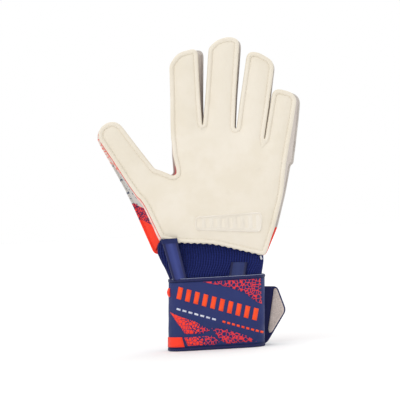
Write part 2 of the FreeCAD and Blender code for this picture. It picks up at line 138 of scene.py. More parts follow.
# ---- Materials -------------------------------------------------------------------
class Shader:
    """A node tree with a Principled shader and short calls to add nodes."""

    def __init__(self, name, roughness=0.8, sheen=0.0, specular=0.3):
        self.material = bpy.data.materials.new(name)
        self.material.use_nodes = True
        self.tree = self.material.node_tree
        self.shader = self.tree.nodes["Principled BSDF"]
        self.shader.inputs["Roughness"].default_value = roughness
        self.shader.inputs["Sheen Weight"].default_value = sheen
        self.shader.inputs["Specular IOR Level"].default_value = specular
        self.height = None

    def node(self, kind, **settings):
        made = self.tree.nodes.new(kind)
        for key, value in settings.items():
            setattr(made, key, value)
        return made

    def link(self, source, target):
        if isinstance(source, (int, float)):
            target.default_value = source
        elif isinstance(source, tuple):
            target.default_value = (*source, 1.0) if len(source) == 3 else source
        else:
            self.tree.links.new(source, target)

    def math(self, operation, a, b=0.0, c=0.0):
        made = self.node("ShaderNodeMath", operation=operation)
        for i, value in enumerate((a, b, c)):
            self.link(value, made.inputs[i])
        return made.outputs[0]

    def mix(self, factor, a, b):
        made = self.node("ShaderNodeMix", data_type="RGBA")
        self.link(factor, made.inputs["Factor"])
        self.link(a, made.inputs["A"])
        self.link(b, made.inputs["B"])
        return made.outputs["Result"]

    def position(self):
        return self.node("ShaderNodeTexCoord").outputs["Object"]

    def uv(self):
        return self.node("ShaderNodeTexCoord").outputs["UV"]

    def scaled(self, vector, scale, rotation=(0, 0, 0)):
        made = self.node("ShaderNodeMapping")
        self.link(vector, made.inputs["Vector"])
        made.inputs["Scale"].default_value = scale
        made.inputs["Rotation"].default_value = rotation
        return made.outputs["Vector"]

    def noise(self, vector, scale, detail=2.0, rough=0.5):
        made = self.node("ShaderNodeTexNoise")
        self.link(vector, made.inputs["Vector"])
        made.inputs["Scale"].default_value = scale
        made.inputs["Detail"].default_value = detail
        made.inputs["Roughness"].default_value = rough
        return made.outputs["Fac"]

    def cells(self, vector, scale, randomness=0.8):
        """The distance to the nearest border between irregular cells."""
        made = self.node("ShaderNodeTexVoronoi", feature="DISTANCE_TO_EDGE")
        self.link(vector, made.inputs["Vector"])
        made.inputs["Scale"].default_value = scale
        made.inputs["Randomness"].default_value = randomness
        return made.outputs["Distance"]

    def weave(self, pitch_u, pitch_v):
        """Crossed threads over the UV map, which is in tenths of a metre; pitches in mm."""
        u, v, _ = self.split(self.uv())
        across = self.math("SINE", self.math("MULTIPLY", u, 200 * math.pi / pitch_u))
        along = self.math("SINE", self.math("MULTIPLY", v, 200 * math.pi / pitch_v))
        return self.math("MULTIPLY_ADD", self.math("MULTIPLY", across, along), 0.5, 0.5)

    def mottle(self, field, low, high, first, second):
        """Blends two 0 to 255 colours where a field rises from low to high."""
        return self.mix(self.ramp(field, low, high), linear(*first), linear(*second))

    def ramp(self, value, low, high, out_low=0.0, out_high=1.0):
        made = self.node("ShaderNodeMapRange", interpolation_type="SMOOTHSTEP")
        keys = ("From Min", "From Max", "To Min", "To Max")
        for key, number in zip(keys, (low, high, out_low, out_high)):
            made.inputs[key].default_value = number
        self.link(value, made.inputs["Value"])
        return made.outputs["Result"]

    def split(self, vector):
        made = self.node("ShaderNodeSeparateXYZ")
        self.link(vector, made.inputs[0])
        return made.outputs

    def colour(self, value):
        self.link(value, self.shader.inputs["Base Color"])

    def rough(self, value):
        self.link(value, self.shader.inputs["Roughness"])

    def bump(self, height, distance, strength=1.0):
        made = self.node("ShaderNodeBump")
        made.inputs["Distance"].default_value = distance
        made.inputs["Strength"].default_value = strength
        self.link(height, made.inputs["Height"])
        if self.height is not None:
            self.link(self.height, made.inputs["Normal"])
        self.height = made.outputs["Normal"]
        self.link(self.height, self.shader.inputs["Normal"])


def linear(r, g, b):
    """A colour from its 0 to 255 screen values."""
    out = []
    for c in (r, g, b):
        c /= 255
        out.append(c / 12.92 if c <= 0.04045 else ((c + 0.055) / 1.055) ** 2.4)
    return tuple(out)


def fabric(name, light, dark, pitch=(0.9, 0.9), roughness=0.8, sheen=0.15, relief=0.15, specular=0.3):
    """Woven or knitted cloth: two tones on its threads, with slow colour variation and wear."""
    s = Shader(name, roughness, sheen, specular)
    place = s.position()
    threads = s.weave(*pitch)
    wear = s.noise(place, 60, 3, 0.6)
    base = s.mix(s.ramp(threads, 0.1, 0.9), dark, light)
    s.colour(s.mix(s.ramp(wear, 0.45, 0.8, 0.0, 0.3), base, dark))
    s.rough(s.ramp(wear, 0.3, 0.7, roughness - 0.06, min(roughness + 0.08, 1.0)))
    s.bump(threads, relief * MM, 0.7)
    s.bump(s.noise(place, 900, 2, 0.6), 0.1 * MM, 0.4)
    return s.material


def plain(name, colour, roughness):
    s = Shader(name, roughness)
    s.colour(colour)
    return s.material


# ---- The digits, read from the joints ----------------------------------------------
FLEX = 11 * MM           # how far below a digit's first hinge its lower piece starts
FLEX_CLEAR = 0.7 * MM    # a short digit's lower piece starts at most half its hinges' gap, less this, below its hinge
EDGE_ROOM = 0.8 * MM     # added to a digit's width at each side
CUT_SLOPE, CUT_NEAR = 0.2, 1.6 * MM   # how level a hinge cut's edges are, and how near the hinge
CUT_SEARCH, CUT_SPARE = 12 * MM, 9 * MM   # where the faces to be cut lie, along and past the digit


class Digit:
    """A finger or the thumb: u runs across it and v along it, both from its first hinge."""

    def __init__(self, name, first, second):
        self.name = name
        hinge, axis = JOINTS[first]["pos_m"], JOINTS[first]["axis"]
        sign = 1.0 if axis[0] > 0 else -1.0
        self.across = np.array([axis[0], axis[2]]) * sign
        self.along = np.array([-self.across[1], self.across[0]])
        self.hinge = np.array([hinge[0], hinge[2]])
        far = JOINTS[second]["pos_m"]
        self.gap = float((np.array([far[0], far[2]]) - self.hinge) @ self.along)
        self.flex = min(FLEX, self.gap / 2 - FLEX_CLEAR)
        self.reach = {}
        for kind in ("latex", "back"):
            u, _ = self.uv(mesh_points(f"{name}_lower_{kind}")[:, [0, 2]])
            self.reach[kind] = (u.min() - EDGE_ROOM, u.max() + EDGE_ROOM)
        self.half = self.reach["latex"][1]

    def uv(self, points):
        """u and v of (x, z) points."""
        local = np.asarray(points) - self.hinge
        return local @ self.across, local @ self.along

    def at(self, u, v):
        return self.hinge + self.across * u + self.along * v

    def plane(self, v):
        """A point and a normal of the cut across the digit at v."""
        x, z = self.at(0, v)
        return Vector((x, 0, z)), Vector((self.along[0], 0, self.along[1]))


def vectors(items, field):
    """One vector per item of a mesh's collection."""
    values = np.empty(len(items) * 3, np.float32)
    items.foreach_get(field, values)
    return values.reshape(-1, 3)


def mesh_points(name):
    return vectors(NODES[name].data.vertices, "co").astype(float)


DIGITS = [
    Digit("index", "index_knuckle", "index_middle_joint"),
    Digit("middle", "middle_knuckle", "middle_middle_joint"),
    Digit("ring", "ring_knuckle", "ring_middle_joint"),
    Digit("little", "little_knuckle", "little_middle_joint"),
    Digit("thumb", "thumb_base", "thumb_tip"),
]
HAND = 0
HAND_LEFT, HAND_RIGHT = (1, 2, 3), (0, 1, 2)   # digits with the hand's cloth at that side of their foot
FORK_REACH = 2 * MM      # how far that cloth stands above the hinge
SPARE = 8 * MM           # how far past its half width a digit still takes points
SPARE_AT_HAND = 1.2 * MM   # the same beside the hand's cloth
SPARE_OWNED = 16 * MM    # the same above the forks, where the nearest edge is known


def labels(points, owners=None):
    """For (x, z) points: 0 on the hand, 1 and 2 on the first digit's lower and upper part, and so on.

    A point goes to its owner, the digit whose own edge lies nearest, where that is given."""
    points = np.asarray(points).reshape(-1, 2)
    best = np.full(len(points), 1e9)
    label = np.zeros(len(points), int)
    for i, digit in enumerate(DIGITS):
        u, v = digit.uv(points)
        if owners is not None:
            spare = np.where(v > FORK_REACH, SPARE_OWNED, SPARE)
            own = (owners == i) & (v > -digit.flex) & (np.abs(u) < digit.half + spare)
            label[own] = np.where(v[own] > digit.gap / 2, 2 + 2 * i, 1 + 2 * i)
            continue
        share = np.abs(u) / digit.half
        beside = ((u < 0) & (i in HAND_LEFT)) | ((u > 0) & (i in HAND_RIGHT))
        spare = np.where(beside & (v < FORK_REACH), SPARE_AT_HAND, SPARE)
        mine = (v > -digit.flex) & (np.abs(u) < digit.half + spare) & (share < best)
        label[mine] = np.where(v[mine] > digit.gap / 2, 2 + 2 * i, 1 + 2 * i)
        best[mine] = share[mine]
    return label


# ---- Outlines, traced from the CAD nodes ---------------------------------------------
def flat_edges(name, level):
    """The border of a node's flat face at a depth, as pairs of (x, z) points."""
    data = NODES[name].data
    points = mesh_points(name)
    used = {}
    data.calc_loop_triangles()
    for triangle in data.loop_triangles:
        corners = points[list(triangle.vertices)]
        if np.abs(corners[:, 1] - level).max() > SNAP:
            continue
        keys = [tuple(np.round(c[[0, 2]] * PER_METRE).astype(int)) for c in corners]
        for a, b in zip(keys, keys[1:] + keys[:1]):
            pair = (min(a, b), max(a, b))
            used[pair] = used.get(pair, 0) + 1
    return [pair for pair, count in used.items() if count == 1 and pair[0] != pair[1]]


def on_hinge_cut(a, b, kind):
    """Whether an edge lies on the cut between two segments of a digit."""
    for digit in DIGITS:
        u, v = digit.uv([a, b])
        low, high = digit.reach[kind]
        if u.min() < low or u.max() > high or abs(v[1] - v[0]) > CUT_SLOPE * abs(u[1] - u[0]):
            continue
        if any(np.abs(v - hinge).max() < CUT_NEAR for hinge in (0.0, digit.gap)):
            return True
    return False


def walk(near, start):
    """The closed loop from a start, where near gives each point's two neighbours."""
    loop, before, now = [start], None, start
    while True:
        following = [k for k in near[now] if k != before][0]
        before, now = now, following
        if now == start:
            return loop
        loop.append(now)


def counter_clockwise(outline):
    return outline if area(outline) > 0 else outline[::-1]


def trace(hand_node, kind, level):
    """One closed (x, z) outline round the hand's and all digits' flat faces.

    It is bridged over the hinge cuts."""
    near = {}
    names = [hand_node] + [f"{d.name}_{part}_{kind}" for d in DIGITS for part in ("lower", "upper")]
    for name in names:
        for a, b in flat_edges(name, level):
            pa, pb = np.array(a) * SNAP, np.array(b) * SNAP
            if not on_hinge_cut(pa, pb, kind):
                near.setdefault((name, a), []).append((name, b))
                near.setdefault((name, b), []).append((name, a))
    loose = [key for key, others in near.items() if len(others) == 1]
    while loose:
        key = loose.pop()
        here = np.array(key[1])
        others = (k for k in loose if k[0] != key[0])
        other = min(others, key=lambda k: np.hypot(*(np.array(k[1]) - here)))
        loose.remove(other)
        near[key].append(other)
        near[other].append(key)
    loop = walk(near, max(near, key=lambda k: k[1][1]))
    return counter_clockwise(np.array([k[1] for k in loop]) * SNAP)


def area(loop):
    x, z = loop[:, 0], loop[:, 1]
    return 0.5 * float(np.sum(x * np.roll(z, -1) - z * np.roll(x, -1)))


def resample(path, step, closed=True):
    """Evenly spaced points along a polyline, about a step apart."""
    points = np.vstack([path, path[:1]]) if closed else np.asarray(path)
    steps = np.diff(points, axis=0)
    lengths = np.hypot(*steps.T) if points.shape[1] == 2 else np.linalg.norm(steps, axis=1)
    along = np.concatenate([[0], np.cumsum(lengths)])
    count = max(3, int(round(along[-1] / step)))
    at = np.linspace(0, along[-1], count if closed else count + 1, endpoint=not closed)
    return np.column_stack([np.interp(at, along, points[:, i]) for i in range(points.shape[1])])


def step_lengths(path):
    return np.linalg.norm(np.diff(path, axis=0), axis=1)


def distances_along(path):
    """How far along a polyline each of its points lies."""
    return np.concatenate([[0], np.cumsum(step_lengths(path))])


def soften(loop, passes):
    """Smooths a closed loop."""
    for _ in range(passes):
        loop = 0.25 * np.roll(loop, 1, 0) + 0.5 * loop + 0.25 * np.roll(loop, -1, 0)
    return loop


def inward(loop):
    """Unit normals of a counter-clockwise (x, z) loop, pointing in."""
    tangent = np.roll(loop, -1, 0) - np.roll(loop, 1, 0)
    tangent /= np.linalg.norm(tangent, axis=1)[:, None]
    return np.column_stack([-tangent[:, 1], tangent[:, 0]])


def distance_to(loop, points):
    """The distance of each point to a closed loop."""
    a = loop
    d = np.roll(loop, -1, 0) - a
    length = np.maximum((d ** 2).sum(1), 1e-18)
    best = np.empty(len(points))
    for start in range(0, len(points), 400):
        p = points[start:start + 400, None, :] - a[None]
        t = np.clip((p * d[None]).sum(2) / length[None], 0, 1)
        gap = p - t[..., None] * d[None]
        best[start:start + 400] = np.sqrt((gap ** 2).sum(2).min(1))
    return best


def inside(loop, points):
    x, z = points[:, 0][:, None], points[:, 1][:, None]
    x0, z0 = loop[:, 0][None], loop[:, 1][None]
    x1, z1 = np.roll(loop[:, 0], -1)[None], np.roll(loop[:, 1], -1)[None]
    crosses = ((z0 > z) != (z1 > z)) & (x < (x1 - x0) * (z - z0) / (z1 - z0 + 1e-15) + x0)
    return crosses.sum(1) % 2 == 1


def outline_of(name, level):
    """The (x, z) outline of one node's flat face at a depth."""
    near = {}
    for a, b in flat_edges(name, level):
        near.setdefault(a, []).append(b)
        near.setdefault(b, []).append(a)
    outline = counter_clockwise(np.array(walk(near, next(iter(near)))) * SNAP)
    return soften(resample(outline, OUTLINE_STEP), 1)


# ---- Mesh building -------------------------------------------------------------------
def triangulate(outline, rings, grid):
    """Points and triangles that fill an outline, with rings at given distances from its edge."""
    points = [outline]
    normal = inward(outline)
    for depth in rings:
        ring = outline + normal * depth
        points.append(ring[distance_to(outline, ring) > depth * 0.96])
    low, high = outline.min(0), outline.max(0)
    rows = np.arange(low[1], high[1], grid * 0.866)
    cells = []
    for i, z in enumerate(rows):
        xs = np.arange(low[0] + (i % 2) * grid / 2, high[0], grid)
        cells.append(np.column_stack([xs, np.full(len(xs), z)]))
    cells = np.vstack(cells)
    cells = cells[inside(outline, cells)]
    last = rings[-1] if rings else 0.0
    cells = cells[distance_to(outline, cells) > last + grid * 0.55]
    points = np.vstack(points + [cells])
    scale = 100.0
    verts = [Vector(p) for p in (points * scale).tolist()]
    found = delaunay_2d_cdt(verts, [], [list(range(len(outline)))], 1, 1e-5)
    flat = np.array([tuple(v) for v in found[0]]) / scale
    triangles = np.array([f for f in found[2] if len(f) == 3])
    a, b, c = (flat[triangles[:, k]] for k in range(3))
    turn = (b[:, 0] - a[:, 0]) * (c[:, 1] - a[:, 1]) - (b[:, 1] - a[:, 1]) * (c[:, 0] - a[:, 0])
    triangles[turn < 0] = triangles[turn < 0][:, ::-1]
    return flat, triangles


def border(triangles):
    """The directed border edges of a triangulation."""
    seen = {}
    for a, b, c in triangles.tolist():
        for edge in ((a, b), (b, c), (c, a)):
            seen[edge] = True
    return [e for e in seen if (e[1], e[0]) not in seen]


def sheet_solid(flat, triangles, front, back, wall_rows=2, bulge=0.25 * MM):
    """A closed sheet from front and back depths at each flat point; -Y is its front."""
    count = len(flat)
    verts = [np.column_stack([flat[:, 0], depth, flat[:, 1]]) for depth in (front, back)]
    faces = [tuple(t) for t in triangles.tolist()]
    faces += [(a + count, c + count, b + count) for a, b, c in triangles.tolist()]
    edges = border(triangles)
    start = {a: b for a, b in edges}
    normal = {}
    before = {b: a for a, b in edges}
    for a in start:
        t = flat[start[a]] - flat[before[a]]
        t = t / max(np.linalg.norm(t), 1e-9)
        normal[a] = np.array([t[1], -t[0]])
    index = {a: [a] for a in start}
    extra = []
    total = 2 * count
    for k in range(1, wall_rows + 1):
        share = k / (wall_rows + 1)
        out = bulge * math.sin(math.pi * share)
        for a in start:
            x, z = flat[a] + normal[a] * out
            extra.append((x, front[a] + (back[a] - front[a]) * share, z))
            index[a].append(total)
            total += 1
    for a in start:
        index[a].append(a + count)
    for a, b in edges:
        for k in range(wall_rows + 1):
            faces.append((index[b][k], index[a][k], index[a][k + 1], index[b][k + 1]))
    verts = np.vstack(verts + ([np.array(extra)] if extra else []))
    return verts, faces


def strip_solid(outer, inner, sleeve=False):
    """A closed strip between two grids of points, each [column][row]; a sleeve's columns run round."""
    columns, rows = outer.shape[:2]
    verts = np.vstack([outer.reshape(-1, 3), inner.reshape(-1, 3)])
    shift = columns * rows
    faces = []
    for i in range(columns if sleeve else columns - 1):
        k = (i + 1) % columns
        for j in range(rows - 1):
            a, b, c, d = i * rows + j, k * rows + j, k * rows + j + 1, i * rows + j + 1
            faces.append((a, b, c, d))
            faces.append((d + shift, c + shift, b + shift, a + shift))
        for j in (0, rows - 1):
            a, b = i * rows + j, k * rows + j
            side = (b, a, a + shift, b + shift)
            faces.append(side if j == 0 else side[::-1])
    for i in () if sleeve else (0, columns - 1):
        for j in range(rows - 1):
            a, b = i * rows + j, i * rows + j + 1
            side = (a, b, b + shift, a + shift)
            faces.append(side if i == 0 else side[::-1])
    return verts, faces


def tube(path, radius, sides=8):
    """A closed round cord along 3-D points."""
    path = np.asarray(path)
    tangent = np.gradient(path, axis=0)
    tangent /= np.linalg.norm(tangent, axis=1)[:, None]
    side = np.cross(tangent, (0.0, 1.0, 0.0))
    side /= np.linalg.norm(side, axis=1)[:, None]
    up = np.cross(side, tangent)
    verts, faces = [], []
    for k, point in enumerate(path):
        for j in range(sides):
            turn = 2 * math.pi * j / sides
            verts.append(point + (side[k] * math.cos(turn) + up[k] * math.sin(turn)) * radius)
    for k in range(len(path) - 1):
        for j in range(sides):
            a, b = k * sides + j, k * sides + (j + 1) % sides
            faces.append((a, b, b + sides, a + sides))
    last = (len(path) - 1) * sides
    faces.append(tuple(range(sides))[::-1])
    faces.append(tuple(range(last, last + sides)))
    return np.array(verts), faces


def gather(parts):
    """Joins (verts, faces) pairs into one."""
    verts, faces, shift = [], [], 0
    for points, polygons in parts:
        verts.append(points)
        faces += [tuple(i + shift for i in p) for p in polygons]
        shift += len(points)
    return np.vstack(verts), faces


def outward(mesh):
    """Turns every face of closed shells outwards."""
    whole = bmesh.new()
    whole.from_mesh(mesh)
    bmesh.ops.recalc_face_normals(whole, faces=whole.faces)
    whole.to_mesh(mesh)
    whole.free()
    mesh.update()
    return mesh


def front_uvs(verts):
    return verts[:, [0, 2]] * UV_SCALE


def both_faces(uvs):
    """The UVs of a strip's outer and inner grid, which share them."""
    return np.vstack([uvs.reshape(-1, 2)] * 2)


def upright(flat):
    """3-D points on the middle plane from (x, z) points."""
    return np.column_stack([flat[:, 0], np.zeros(len(flat)), flat[:, 1]])


def profile(d, knots, rise):
    """The height at a distance, between knots given in mm."""
    return np.interp(d, np.array(knots) * MM, np.array(rise) * MM)


def new_mesh(name, verts, faces, uvs, tags=None):
    """A mesh from points and faces; uvs are per point, tags are material numbers per face."""
    mesh = bpy.data.meshes.new(name)
    mesh.from_pydata([tuple(v) for v in np.asarray(verts).tolist()], [], faces)
    mesh.polygons.foreach_set("use_smooth", [True] * len(mesh.polygons))
    layer = mesh.uv_layers.new(name="UVMap")
    loops = np.empty(len(mesh.loops), int)
    mesh.loops.foreach_get("vertex_index", loops)
    layer.data.foreach_set("uv", np.asarray(uvs, np.float32)[loops].ravel())
    if tags is not None:
        mesh.polygons.foreach_set("material_index", list(tags))
    mesh.validate()
    mesh.update()
    return mesh


def keep_normals(mesh):
    """Stores the whole mesh's point normals, so that its cut pieces shade as one."""
    layer = mesh.attributes.new("whole_normal", "FLOAT_VECTOR", "POINT")
    layer.data.foreach_set("vector", vectors(mesh.vertices, "normal").ravel())


def add_object(name, mesh, materials):
    for material in materials if isinstance(materials, (list, tuple)) else [materials]:
        mesh.materials.append(material)
    made = bpy.data.objects.new(name, mesh)
    bpy.context.scene.collection.objects.link(made)
    return made


def add_solid(name, verts, faces, material, slot, uvs=None, body=None, node=None):
    """Adds a closed piece; it rides on a body and stands for a CAD node where those are given."""
    mesh = new_mesh(name, verts, faces, front_uvs(verts) if uvs is None else uvs)
    made = add_object(name, outward(mesh), material)
    if body:
        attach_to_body(made, body)
    if node:
        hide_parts(node)
    return made


def attach(piece, label):
    """Rides the piece on the hand; a digit's piece keeps its place, which is baked into its points."""
    if label == HAND:
        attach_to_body(piece, "hand")
        return
    digit = DIGITS[(label - 1) // 2]
    upper = label % 2 == 0
    middle = digit.gap if upper else 0.0
    ends = [digit.plane(middle + side * digit.flex)[0] for side in (-1, 1)]
    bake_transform(piece)


def cut_at_digits(whole):
    """Cuts a bmesh across every digit where one piece ends and the next begins."""
    for digit in DIGITS:
        for v in (-digit.flex, digit.gap / 2):
            here = []
            for face in whole.faces:
                x, _, z = face.calc_center_median()
                du, dv = digit.uv([(x, z)])
                if abs(dv[0] - v) < CUT_SEARCH and abs(du[0]) < digit.half + CUT_SPARE:
                    here.append(face)
            if not here:
                continue
            geometry = set(here)
            for face in here:
                geometry.update(face.edges)
                geometry.update(face.verts)
            point, normal = digit.plane(v)
            bmesh.ops.bisect_plane(
                whole, geom=list(geometry), dist=1e-7, plane_co=point, plane_no=normal)


def piece_name(base, label):
    if label == HAND:
        return f"hand_{base}"
    digit = DIGITS[(label - 1) // 2]
    return f"{digit.name}_{'upper' if label % 2 == 0 else 'lower'}_{base}"


def face_centres(mesh):
    """The (x, z) middle of each face."""
    return vectors(mesh.polygons, "center")[:, [0, 2]]


def make_pieces(base, mesh, materials):
    """Splits a mesh that covers hand and digits into pieces, one for the hand and each digit's lower and
    upper part; returns them by label.
    """
    whole = bmesh.new()
    whole.from_mesh(mesh)
    cut_at_digits(whole)
    whole.to_mesh(mesh)
    whole.free()
    mesh.update()
    keep_normals(mesh)
    owners = None
    if "owner" in mesh.attributes:
        owners = np.empty(len(mesh.polygons), np.int32)
        mesh.attributes["owner"].data.foreach_get("value", owners)
        mesh.attributes.remove(mesh.attributes["owner"])
    tags = labels(face_centres(mesh), owners)
    pieces = {}
    for label in sorted(set(tags.tolist())):
        part = bmesh.new()
        part.from_mesh(mesh)
        part.faces.ensure_lookup_table()
        gone = [part.faces[i] for i in np.nonzero(tags != label)[0]]
        bmesh.ops.delete(part, geom=gone, context="FACES")
        name = piece_name(base, label)
        data = bpy.data.meshes.new(name)
        part.to_mesh(data)
        part.free()
        layer = data.attributes["whole_normal"]
        normals = vectors(layer.data, "vector").tolist()
        data.attributes.remove(layer)
        data.normals_split_custom_set_from_vertices([tuple(n) for n in normals])
        piece = add_object(name, data, materials)
        attach(piece, label)
        pieces[label] = piece
    bpy.data.meshes.remove(mesh)
    return pieces


def replace_by_label(pieces, nodes_of):
    """Hides the CAD nodes that each piece stands for; nodes_of gives them for a label."""
    for label, piece in pieces.items():
        names = nodes_of(label)
        if names:
            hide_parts(*names)


def digit_node(kind):
    """Names the CAD node of a kind for a label, and nothing for the hand."""
    def find(label):
        return [] if label == HAND else [piece_name(kind, label)]
    return find


def smooth_noise(points, scale, seed):
    """A soft random height between -1 and 1 at 3-D points, from a few crossed waves."""
    draw = np.random.default_rng(seed)
    total = np.zeros(len(points))
    for _ in range(7):
        direction = draw.normal(size=3)
        direction /= np.linalg.norm(direction)
        frequency = 2 * math.pi / scale * draw.uniform(0.6, 1.5)
        total += np.sin(points @ direction * frequency + draw.uniform(0, 2 * math.pi))
    return total / 7 * 1.6


# ---- Latex palm ----------------------------------------------------------------------
EDGE_RINGS = [d * MM for d in (0.35, 0.8, 1.5, 2.4, 3.1, 3.6, 3.9, 4.2, 4.8, 6.2, 8.2)]


def lip_profile(d):
    """Height of the latex face over its plane at a distance from its edge."""
    knots = (0, 0.35, 0.8, 1.5, 2.4, 3.1, 3.6, 3.9, 4.2, 4.8, 6.2, 8.2, 11, 16, 60)
    rise = (-1.4, -0.6, -0.15, 0.05, 0.0, -0.35, -0.95, -1.35, -1.15, -0.9, -0.55, -0.15,
            0.25, 0.5, 0.6)
    return profile(d, knots, rise)


def latex_material():
    s = Shader("latex_foam", roughness=0.75, sheen=0.03, specular=0.15)
    place = s.position()
    mottle = s.noise(place, 38, 3, 0.6)
    grain = s.noise(place, 1400, 2, 0.6)
    shade = s.noise(place, 9, 2, 0.5)
    base = s.mottle(mottle, 0.35, 0.7, (235, 227, 213), (230, 221, 204))
    base = s.mix(s.ramp(shade, 0.35, 0.75, 0.0, 0.6), base, linear(224, 215, 197))
    s.colour(s.mix(s.ramp(grain, 0.55, 0.8, 0.0, 0.25), base, linear(222, 212, 192)))
    s.rough(s.ramp(mottle, 0.3, 0.7, 0.66, 0.8))
    s.bump(grain, 0.00012, 0.5)
    s.bump(s.noise(place, 260, 3, 0.6), 0.0002, 0.35)
    return s.material


def hem_ripple(outline, size, period):
    """Pushes the hem at the wrist in and out a little, as the gathered cuff pulls it."""
    left, right = corners_of(outline)
    normal = inward(outline)
    steps = np.linalg.norm(np.roll(outline, -1, 0) - outline, axis=1)
    along = np.concatenate([[0], np.cumsum(steps)[:-1]])
    count = len(outline)
    hem = [(left + k) % count for k in range((right - left) % count + 1)]
    for k, i in enumerate(hem):
        fade = min(1.0, k / 6, (len(hem) - 1 - k) / 6)
        outline[i] += normal[i] * size * fade * math.sin(2 * math.pi * along[i] / period)
    return outline


def corners_of(outline):
    """Indices of an outline's left and right corners at the wrist."""
    left = int(np.argmax(outline @ (-0.75, -0.66)))
    right = int(np.argmax(outline @ (0.35, -0.94)))
    return left, right


DIMPLES = [(48.0, 158.4), (19.7, 139.8)]  # small dents where the latex is tacked down, mm


def make_palm():
    outline = trace("palm_latex", "latex", PALM_INSIDE)
    outline = soften(resample(outline, OUTLINE_STEP), 3)
    rippled = hem_ripple(outline.copy(), 0.45 * MM, 5.6 * MM)
    flat, triangles = triangulate(rippled, EDGE_RINGS, 2.2 * MM)
    d = distance_to(outline, flat)
    points = upright(flat)
    swell = smooth_noise(points, 42 * MM, 3) * 0.3 * MM + smooth_noise(points, 17 * MM, 4) * 0.1 * MM
    fade = np.clip(d / (8 * MM), 0.15, 1.0)
    front = PALM_FACE - lip_profile(d) - swell * fade
    heel = outline_of("heel_patch", corner("heel_patch", 0, 1))
    off = np.where(inside(heel, flat), 9.0, distance_to(heel, flat) / MM)
    front += 0.7 * MM * np.exp(-(off / 1.3) ** 2)
    for x, z in DIMPLES:
        away = np.hypot(flat[:, 0] - x * MM, flat[:, 1] - z * MM)
        front += 1.1 * MM * np.exp(-(away / (1.7 * MM)) ** 2)
    back = np.full(len(flat), PALM_INSIDE)
    verts, faces = sheet_solid(flat, triangles, front, back)
    mesh = new_mesh("latex", verts, faces, front_uvs(verts))
    pieces = make_pieces("palm_latex_sheet", mesh, latex_material())
    replace_by_label(pieces, lambda label: digit_node("latex")(label) or ["palm_latex"])
    return outline


# ---- Back of the hand --------------------------------------------------------------------
EDGE_DEPTH, THUMB_X = 1.6 * MM, -50 * MM   # the back's grey edge: its depth, and where it ends
THUMB_UV = -0.52         # the UV map's x left of which the thumb's rose print lies
ZONE_SLOPE = 0.106       # the printed zones on the back drop towards the little finger
ORANGE_TOP = 112.5       # heights where the printed zones change, in mm, on the middle line
PATTERN_TOP = 128.0
GREY_TOP = 163.0


def zone_height(s, x, z):
    """The height in mm of a UV point over the sloping zones' zero line."""
    return s.math("MULTIPLY_ADD", x, 100 * ZONE_SLOPE, s.math("MULTIPLY", z, 100.0))


def marks_over(s, place, scale, limit):
    """Short random marks, where a stretched noise passes a limit."""
    field = s.noise(s.scaled(place, (1.0, 1.0, 2.2), (0, 0.5, 0)), scale, 1)
    return s.math("GREATER_THAN", field, limit)


def zone_colours(s, height, place):
    """Orange at the wrist, then a dark pattern on red, then marked grey, then pale rose."""
    marks = s.cells(place, 330, 0.9)
    orange = s.mottle(s.noise(place, 30, 3), 0.3, 0.7, (250, 66, 42), (242, 58, 38))
    pattern = s.mottle(marks, 0.09, 0.14, (66, 30, 74), (232, 58, 58))
    grey = s.mix(marks_over(s, place, 190, 0.655), linear(198, 195, 190), linear(92, 100, 116))
    rose = s.mix(marks_over(s, place, 260, 0.53), linear(226, 212, 204), linear(232, 138, 124))
    colour = s.mix(s.ramp(height, ORANGE_TOP - 0.3, ORANGE_TOP + 0.3), orange, pattern)
    colour = s.mix(s.ramp(height, PATTERN_TOP - 0.3, PATTERN_TOP + 0.3), colour, grey)
    return colour, rose


def back_material():
    s = Shader("back_foam", roughness=0.7, sheen=0.02, specular=0.15)
    place = s.position()
    x, z, _ = s.split(s.uv())
    height = zone_height(s, x, z)
    colour, rose = zone_colours(s, height, place)
    thumb = s.math("LESS_THAN", x, THUMB_UV)
    top = s.math("MULTIPLY", thumb, s.ramp(height, GREY_TOP - 0.3, GREY_TOP + 0.3))
    s.colour(s.mix(top, colour, rose))
    s.bump(s.weave(1.4, 1.4), 0.12 * MM, 0.5)
    s.bump(s.noise(place, 700, 2, 0.6), 0.1 * MM, 0.4)
    return s.material


def back_edge_material():
    """The back's cut edge, grey and unprinted, with the orange zone's colour at the wrist."""
    s = Shader("back_edge", roughness=0.8, sheen=0.02, specular=0.15)
    place = s.position()
    x, z, _ = s.split(s.uv())
    height = zone_height(s, x, z)
    tone = s.ramp(s.noise(place, 60, 3), 0.35, 0.7)
    grey = s.mix(tone, linear(206, 200, 194), linear(186, 178, 172))
    red = s.mix(tone, linear(244, 76, 60), linear(226, 62, 58))
    s.colour(s.mix(s.ramp(height, ORANGE_TOP - 0.3, ORANGE_TOP + 0.3), red, grey))
    s.bump(s.noise(place, 700, 2, 0.6), 0.1 * MM, 0.4)
    return s.material


def groove(value, pitch, width, depth):
    """A row of soft grooves across a coordinate."""
    near = np.abs((value / pitch) % 1.0 - 0.5) * pitch
    return -depth * np.clip(1 - near / width, 0, 1) ** 0.7


def back_relief(flat, d):
    """Height of the padded back over its plane: rolled edge, seam and pressed grooves."""
    knots = (0, 0.4, 1.0, 1.8, 2.6, 3.2, 4.0, 6.0, 12.0, 60.0)
    height = profile(d, knots, (-1.9, -0.9, -0.3, -0.2, -0.8, -1.1, -0.5, 0.1, 0.6, 0.7))
    label = labels(flat)
    pressed = np.zeros(len(flat))
    for i, digit in enumerate(DIGITS):
        u, v = digit.uv(flat)
        mine = (label == 1 + 2 * i) | (label == 2 + 2 * i)
        pressed[mine] = groove(v + 0.45 * np.abs(u), 12.5 * MM, 1.5 * MM, 1.3 * MM)[mine]
    hand = label == HAND
    slant = flat[:, 1] + 0.35 * np.abs(flat[:, 0] - 8 * MM)
    pressed[hand] = groove(slant, 15.0 * MM, 1.6 * MM, 1.3 * MM)[hand]
    return height + pressed * np.clip((d - 4 * MM) / (2 * MM), 0, 1)


